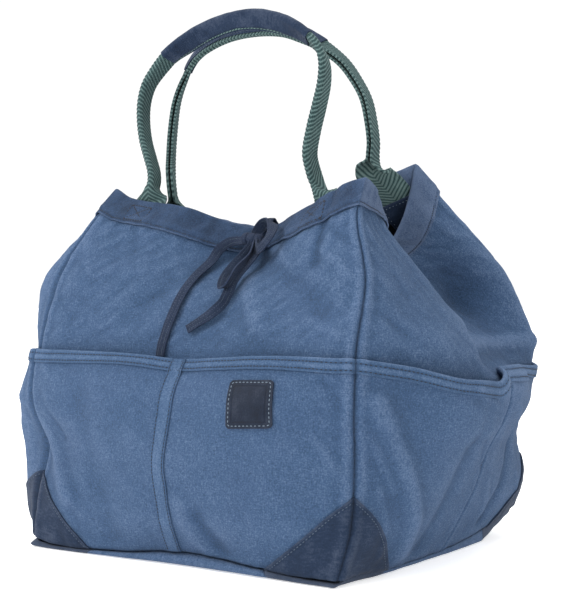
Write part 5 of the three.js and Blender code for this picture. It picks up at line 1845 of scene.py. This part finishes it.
FINISHES = {
    "canvas": lambda c: woven("canvas", tuple(c.canvas)),
    "inside": lambda c: woven("shaded_inside_canvas", tuple(c.inside), slub=0.6),
    "binding": lambda c: woven("binding_cloth", tuple(c.binding), contrast=0.8, fade=0.3),
    # The band's fade is strong so that its painted side light and shade reach far
    "band": lambda c: woven("band_cloth", tuple(c.band), contrast=0.9, fade=0.5),
    "tie": lambda c: woven("tie_cloth", tuple(c.tie), thread=0.8, contrast=0.8),
    "suede": lambda c: suede("suede", tuple(c.suede)),
    "leather": lambda c: label_leather("label_leather", tuple(c.leather)),
    "webbing": lambda c: herringbone(
        "webbing", tuple(c.webbing), tuple(c.webbing_lit_crests), tuple(c.webbing_shaded_gaps)
    ),
    "dark_thread": lambda c: thread("dark_thread", tuple(c.dark_thread)),
    "light_thread": lambda c: thread("light_thread", tuple(c.light_thread)),
    "tie_thread": lambda c: thread("tie_thread", tuple(c.tie_thread)),
}


def finish(context, key):
    """The finish of that name, made the first time that it is asked for"""
    made = context.scene.tote_finishes
    if key not in made:
        material = FINISHES[key](context.scene.tote_colours)
        entry = made.add()
        entry.name = key
        entry.material = material
    return made[key].material


def colour_property(label, what, value):
    return bpy.props.FloatVectorProperty(
        name=label, description=what, default=value, subtype="COLOR", size=3, min=0, max=1,
    )


def length_property(label, what, value):
    return bpy.props.FloatProperty(
        name=label, description=what, default=value * MM, unit="LENGTH", min=0.0002, max=0.1,
    )


class ToteFinish(bpy.types.PropertyGroup):
    """A finish that has been made"""

    material: bpy.props.PointerProperty(
        name="Material", description="The material of this finish", type=bpy.types.Material
    )


class ToteColours(bpy.types.PropertyGroup):
    """Colours of the cloths, leathers and threads"""

    canvas: colour_property("Canvas", "Washed canvas of the body", (0.040, 0.082, 0.165))
    # Near black: painted shade, as the inside of the bag lies in shadow
    inside: colour_property("Inside", "Canvas inside the bag", (0.004, 0.006, 0.011))
    binding: colour_property("Binding", "Binding and dividers", (0.045, 0.091, 0.178))
    # Darker than the canvas: a shaded copy of it, which the painted light on the band's right side and
    # back lifts again
    band: colour_property("Band", "Band round the mouth", (0.029, 0.058, 0.120))
    suede: colour_property("Suede", "Corners, grips and tabs", (0.0112, 0.0225, 0.049))
    webbing: colour_property("Webbing", "Webbing of the handles", (0.062, 0.112, 0.112))
    # The crests' colour is painted light, the gaps' colour painted shade
    webbing_lit_crests: colour_property("Webbing ribs", "Crests of the ribs", (0.15, 0.215, 0.205))
    webbing_shaded_gaps: colour_property("Webbing gaps", "Gaps between the ribs", (0.014, 0.032, 0.034))
    leather: colour_property("Label", "Leather of the label", (0.0052, 0.0108, 0.025))
    tie: colour_property("Tie", "Cloth of the tie", (0.014, 0.025, 0.055))
    dark_thread: colour_property("Dark thread", "Stitches on the canvas", (0.005, 0.010, 0.024))
    light_thread: colour_property("Light thread", "Stitches on the leather", (0.12, 0.16, 0.205))
    tie_thread: colour_property("Dull thread", "Stitches on suede and the tie", (0.05, 0.075, 0.115))


class ToteSizes(bpy.types.PropertyGroup):
    """Sizes of the cloths and of the label"""

    canvas: length_property("Canvas", "Thickness of the panels", CANVAS)
    pocket: length_property("Pocket", "Thickness of the pockets' cloth", POCKET_CLOTH)
    binding: length_property("Binding", "Thickness of the binding", BINDING_CLOTH)
    suede: length_property("Suede", "Thickness of the suede", SUEDE)
    band: length_property("Band", "Thickness of the top band's cloth", BAND_CLOTH)
    base: length_property("Base", "Thickness of the base", BASE_CLOTH)
    webbing: length_property("Webbing", "Thickness of the webbing", WEBBING)
    tie: length_property("Tie", "Thickness of the tie", TIE_CLOTH)
    label_width: length_property("Label width", "Width of the label", LABEL["width"])
    label_height: length_property("Label height", "Height of the label", LABEL["height"])


# The camera's place and turn, and its lens
CAMERA_PLACE = (0.7926, -1.1698, 0.250)
CAMERA_TURN = (90, 0, 34)
CAMERA_LENS = 81
CAMERA_SENSOR = 36


class TOTE_OT_camera(bpy.types.Operator):
    """Set the camera at the photograph's viewing angle"""

    bl_idname = "tote.camera"
    bl_label = "Camera"

    def execute(self, context):
        data = bpy.data.cameras.new("camera")
        data.lens = CAMERA_LENS
        data.sensor_width = CAMERA_SENSOR
        camera = bpy.data.objects.new("camera", data)
        camera.location = CAMERA_PLACE
        camera.rotation_euler = [math.radians(a) for a in CAMERA_TURN]
        context.scene.collection.objects.link(camera)
        context.scene.camera = camera
        return {"FINISHED"}


def soft_light(context, name, place, target, size, power):
    """A round area light, turned towards a target"""
    data = bpy.data.lights.new(name, "AREA")
    data.shape = "DISK"
    data.size = size
    data.energy = power
    light = bpy.data.objects.new(name, data)
    light.location = place
    aim = np.array(target) - np.array(place)
    light.rotation_euler = (
        math.atan2(math.hypot(aim[0], aim[1]), -aim[2]), 0, math.atan2(-aim[0], aim[1]),
    )
    context.scene.collection.objects.link(light)


class TOTE_OT_stage(bpy.types.Operator):
    """Lay a pale floor and set soft studio lights"""

    bl_idname = "tote.stage"
    bl_label = "Stage"

    def execute(self, context):
        bm = bmesh.new()
        bmesh.ops.create_circle(bm, cap_ends=True, segments=96, radius=40)
        mesh = bpy.data.meshes.new("floor")
        bm.to_mesh(mesh)
        bm.free()
        floor = bpy.data.objects.new("floor", mesh)
        context.scene.collection.objects.link(floor)
        pale = bpy.data.materials.new("pale_floor")
        pale.use_nodes = True
        shader = pale.node_tree.nodes["Principled BSDF"]
        looks = {
            "Base Color": (0.92, 0.92, 0.92, 1), "Roughness": 1.0, "Specular IOR Level": 0.0,
            "Emission Color": (1, 1, 1, 1), "Emission Strength": 0.55,
        }
        for key, value in looks.items():
            shader.inputs[key].default_value = value
        mesh.materials.append(pale)
        world = bpy.data.worlds.new("studio")
        world.use_nodes = True
        sky = world.node_tree.nodes["Background"]
        sky.inputs["Color"].default_value = (1, 1, 1, 1)
        sky.inputs["Strength"].default_value = 1.05
        context.scene.world = world
        context.scene.view_settings.view_transform = "Standard"
        soft_light(context, "key_light", (-1.2, -1.6, 1.7), (0, 0, 0.25), 1.3, 38)
        soft_light(context, "top_light", (0.3, 0.2, 2.2), (0, 0, 0.3), 1.4, 26)
        return {"FINISHED"}


class TOTE_OT_panels(bpy.types.Operator):
    """Make the four panels"""

    bl_idname = "tote.panels"
    bl_label = "Panels"

    def execute(self, context):
        size = context.scene.tote_sizes
        cloths = [finish(context, "canvas"), finish(context, "inside")]
        for name in SIDE_ORDER:
            make_panel(name, size.canvas / MM, cloths)
        return {"FINISHED"}


class TOTE_OT_pockets(bpy.types.Operator):
    """Make the pockets with their bindings, dividers and stitching"""

    bl_idname = "tote.pockets"
    bl_label = "Pockets"

    def execute(self, context):
        size = context.scene.tote_sizes
        rows = []
        for name in SIDE_ORDER:
            make_pocket(name, size.pocket / MM, finish(context, "canvas"))
            make_binding(name, size.binding / MM, finish(context, "binding"))
            rows += binding_rows(name)
        for name in DIVIDED:
            make_divider(name, size.binding / MM, finish(context, "binding"))
            rows += divider_rows(name)
        for name in SEWN_THROUGH:
            rows += side_seam_rows(name)
        make_stitches("pocket_stitches", rows, finish(context, "dark_thread"))
        return {"FINISHED"}


class TOTE_OT_corners(bpy.types.Operator):
    """Make the suede corners of the pockets, with their stitching"""

    bl_idname = "tote.corners"
    bl_label = "Suede corners"

    def execute(self, context):
        size = context.scene.tote_sizes
        rows = []
        for name in SIDE_ORDER:
            for at_start in (True, False):
                make_patch(name, at_start, size.suede / MM, finish(context, "suede"))
                rows += patch_rows(name, at_start)
        make_stitches("corner_stitches", rows, finish(context, "tie_thread"))
        return {"FINISHED"}


class TOTE_OT_base(bpy.types.Operator):
    """Make the base and its suede corners"""

    bl_idname = "tote.base"
    bl_label = "Base"

    def execute(self, context):
        size = context.scene.tote_sizes
        make_base(size.base / MM, finish(context, "canvas"), finish(context, "suede"))
        return {"FINISHED"}


class TOTE_OT_label(bpy.types.Operator):
    """Make the stitched leather label"""

    bl_idname = "tote.label"
    bl_label = "Label"

    def execute(self, context):
        size = context.scene.tote_sizes
        make_label(size, finish(context, "leather"))
        rows = label_rows(size)
        make_stitches("label_stitches", rows, finish(context, "light_thread"))
        return {"FINISHED"}


class TOTE_OT_band(bpy.types.Operator):
    """Make the top band with its stitching and the boxes over the handles' feet"""

    bl_idname = "tote.band"
    bl_label = "Top band"

    def execute(self, context):
        size = context.scene.tote_sizes
        make_band(size.band / MM, finish(context, "band"))
        dark = finish(context, "dark_thread")
        make_stitches("band_stitches", band_rows(), dark)
        make_stitches("cross_stitches", cross_boxes(), dark, CROSS_STITCH)
        return {"FINISHED"}


class TOTE_OT_handles(bpy.types.Operator):
    """Make the webbing handles, their grips and their tabs"""

    bl_idname = "tote.handles"
    bl_label = "Handles"

    def execute(self, context):
        size = context.scene.tote_sizes
        rows = []
        for name in HANDLES:
            handle = Handle(name)
            make_strap(handle, size.webbing / MM, finish(context, "webbing"))
            make_grip(handle, finish(context, "suede"))
            rows += grip_rows(handle)
            for end in (0, 1):
                make_tab(name, end, size.suede / MM, finish(context, "suede"))
                rows += tab_rows(name, end)
        make_stitches("handle_stitches", rows, finish(context, "light_thread"))
        return {"FINISHED"}


class TOTE_OT_tie(bpy.types.Operator):
    """Make the cloth tie in its bow"""

    bl_idname = "tote.tie"
    bl_label = "Tie"

    def execute(self, context):
        size = context.scene.tote_sizes
        runs = tie_runs()
        make_tie(runs, size.tie / MM, finish(context, "tie"))
        dull = finish(context, "tie_thread")
        make_stitches("tie_stitches", tie_rows(runs), dull, FINE_STITCH)
        return {"FINISHED"}


class TOTE_PT_bag(bpy.types.Panel):
    """The bag's pieces, sizes and colours"""

    bl_idname = "TOTE_PT_bag"
    bl_label = "Tote Bag"
    bl_space_type = "VIEW_3D"
    bl_region_type = "UI"
    bl_category = "Tote Bag"

    def draw(self, context):
        column = self.layout.column(align=True)
        for operator in OPERATORS:
            column.operator(operator.bl_idname)
        for settings in (context.scene.tote_sizes, context.scene.tote_colours):
            column = self.layout.column(align=True)
            for key in settings.bl_rna.properties.keys():
                if key not in ("rna_type", "name"):
                    column.prop(settings, key)


OPERATORS = (
    TOTE_OT_camera, TOTE_OT_stage, TOTE_OT_base, TOTE_OT_panels, TOTE_OT_pockets,
    TOTE_OT_corners, TOTE_OT_label, TOTE_OT_band, TOTE_OT_handles, TOTE_OT_tie,
)
CLASSES = (ToteFinish, ToteColours, ToteSizes, *OPERATORS, TOTE_PT_bag)


def register():
    for cls in CLASSES:
        bpy.utils.register_class(cls)
    bpy.types.Scene.tote_colours = bpy.props.PointerProperty(type=ToteColours)
    bpy.types.Scene.tote_sizes = bpy.props.PointerProperty(type=ToteSizes)
    bpy.types.Scene.tote_finishes = bpy.props.CollectionProperty(type=ToteFinish)


def unregister():
    del bpy.types.Scene.tote_finishes
    del bpy.types.Scene.tote_sizes
    del bpy.types.Scene.tote_colours
    for cls in reversed(CLASSES):
        bpy.utils.unregister_class(cls)


def main():
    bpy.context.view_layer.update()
    register()
    for operator in OPERATORS:
        group, word = operator.bl_idname.split(".")
        getattr(getattr(bpy.ops, group), word)()


if __name__ == "__main__":
    main()
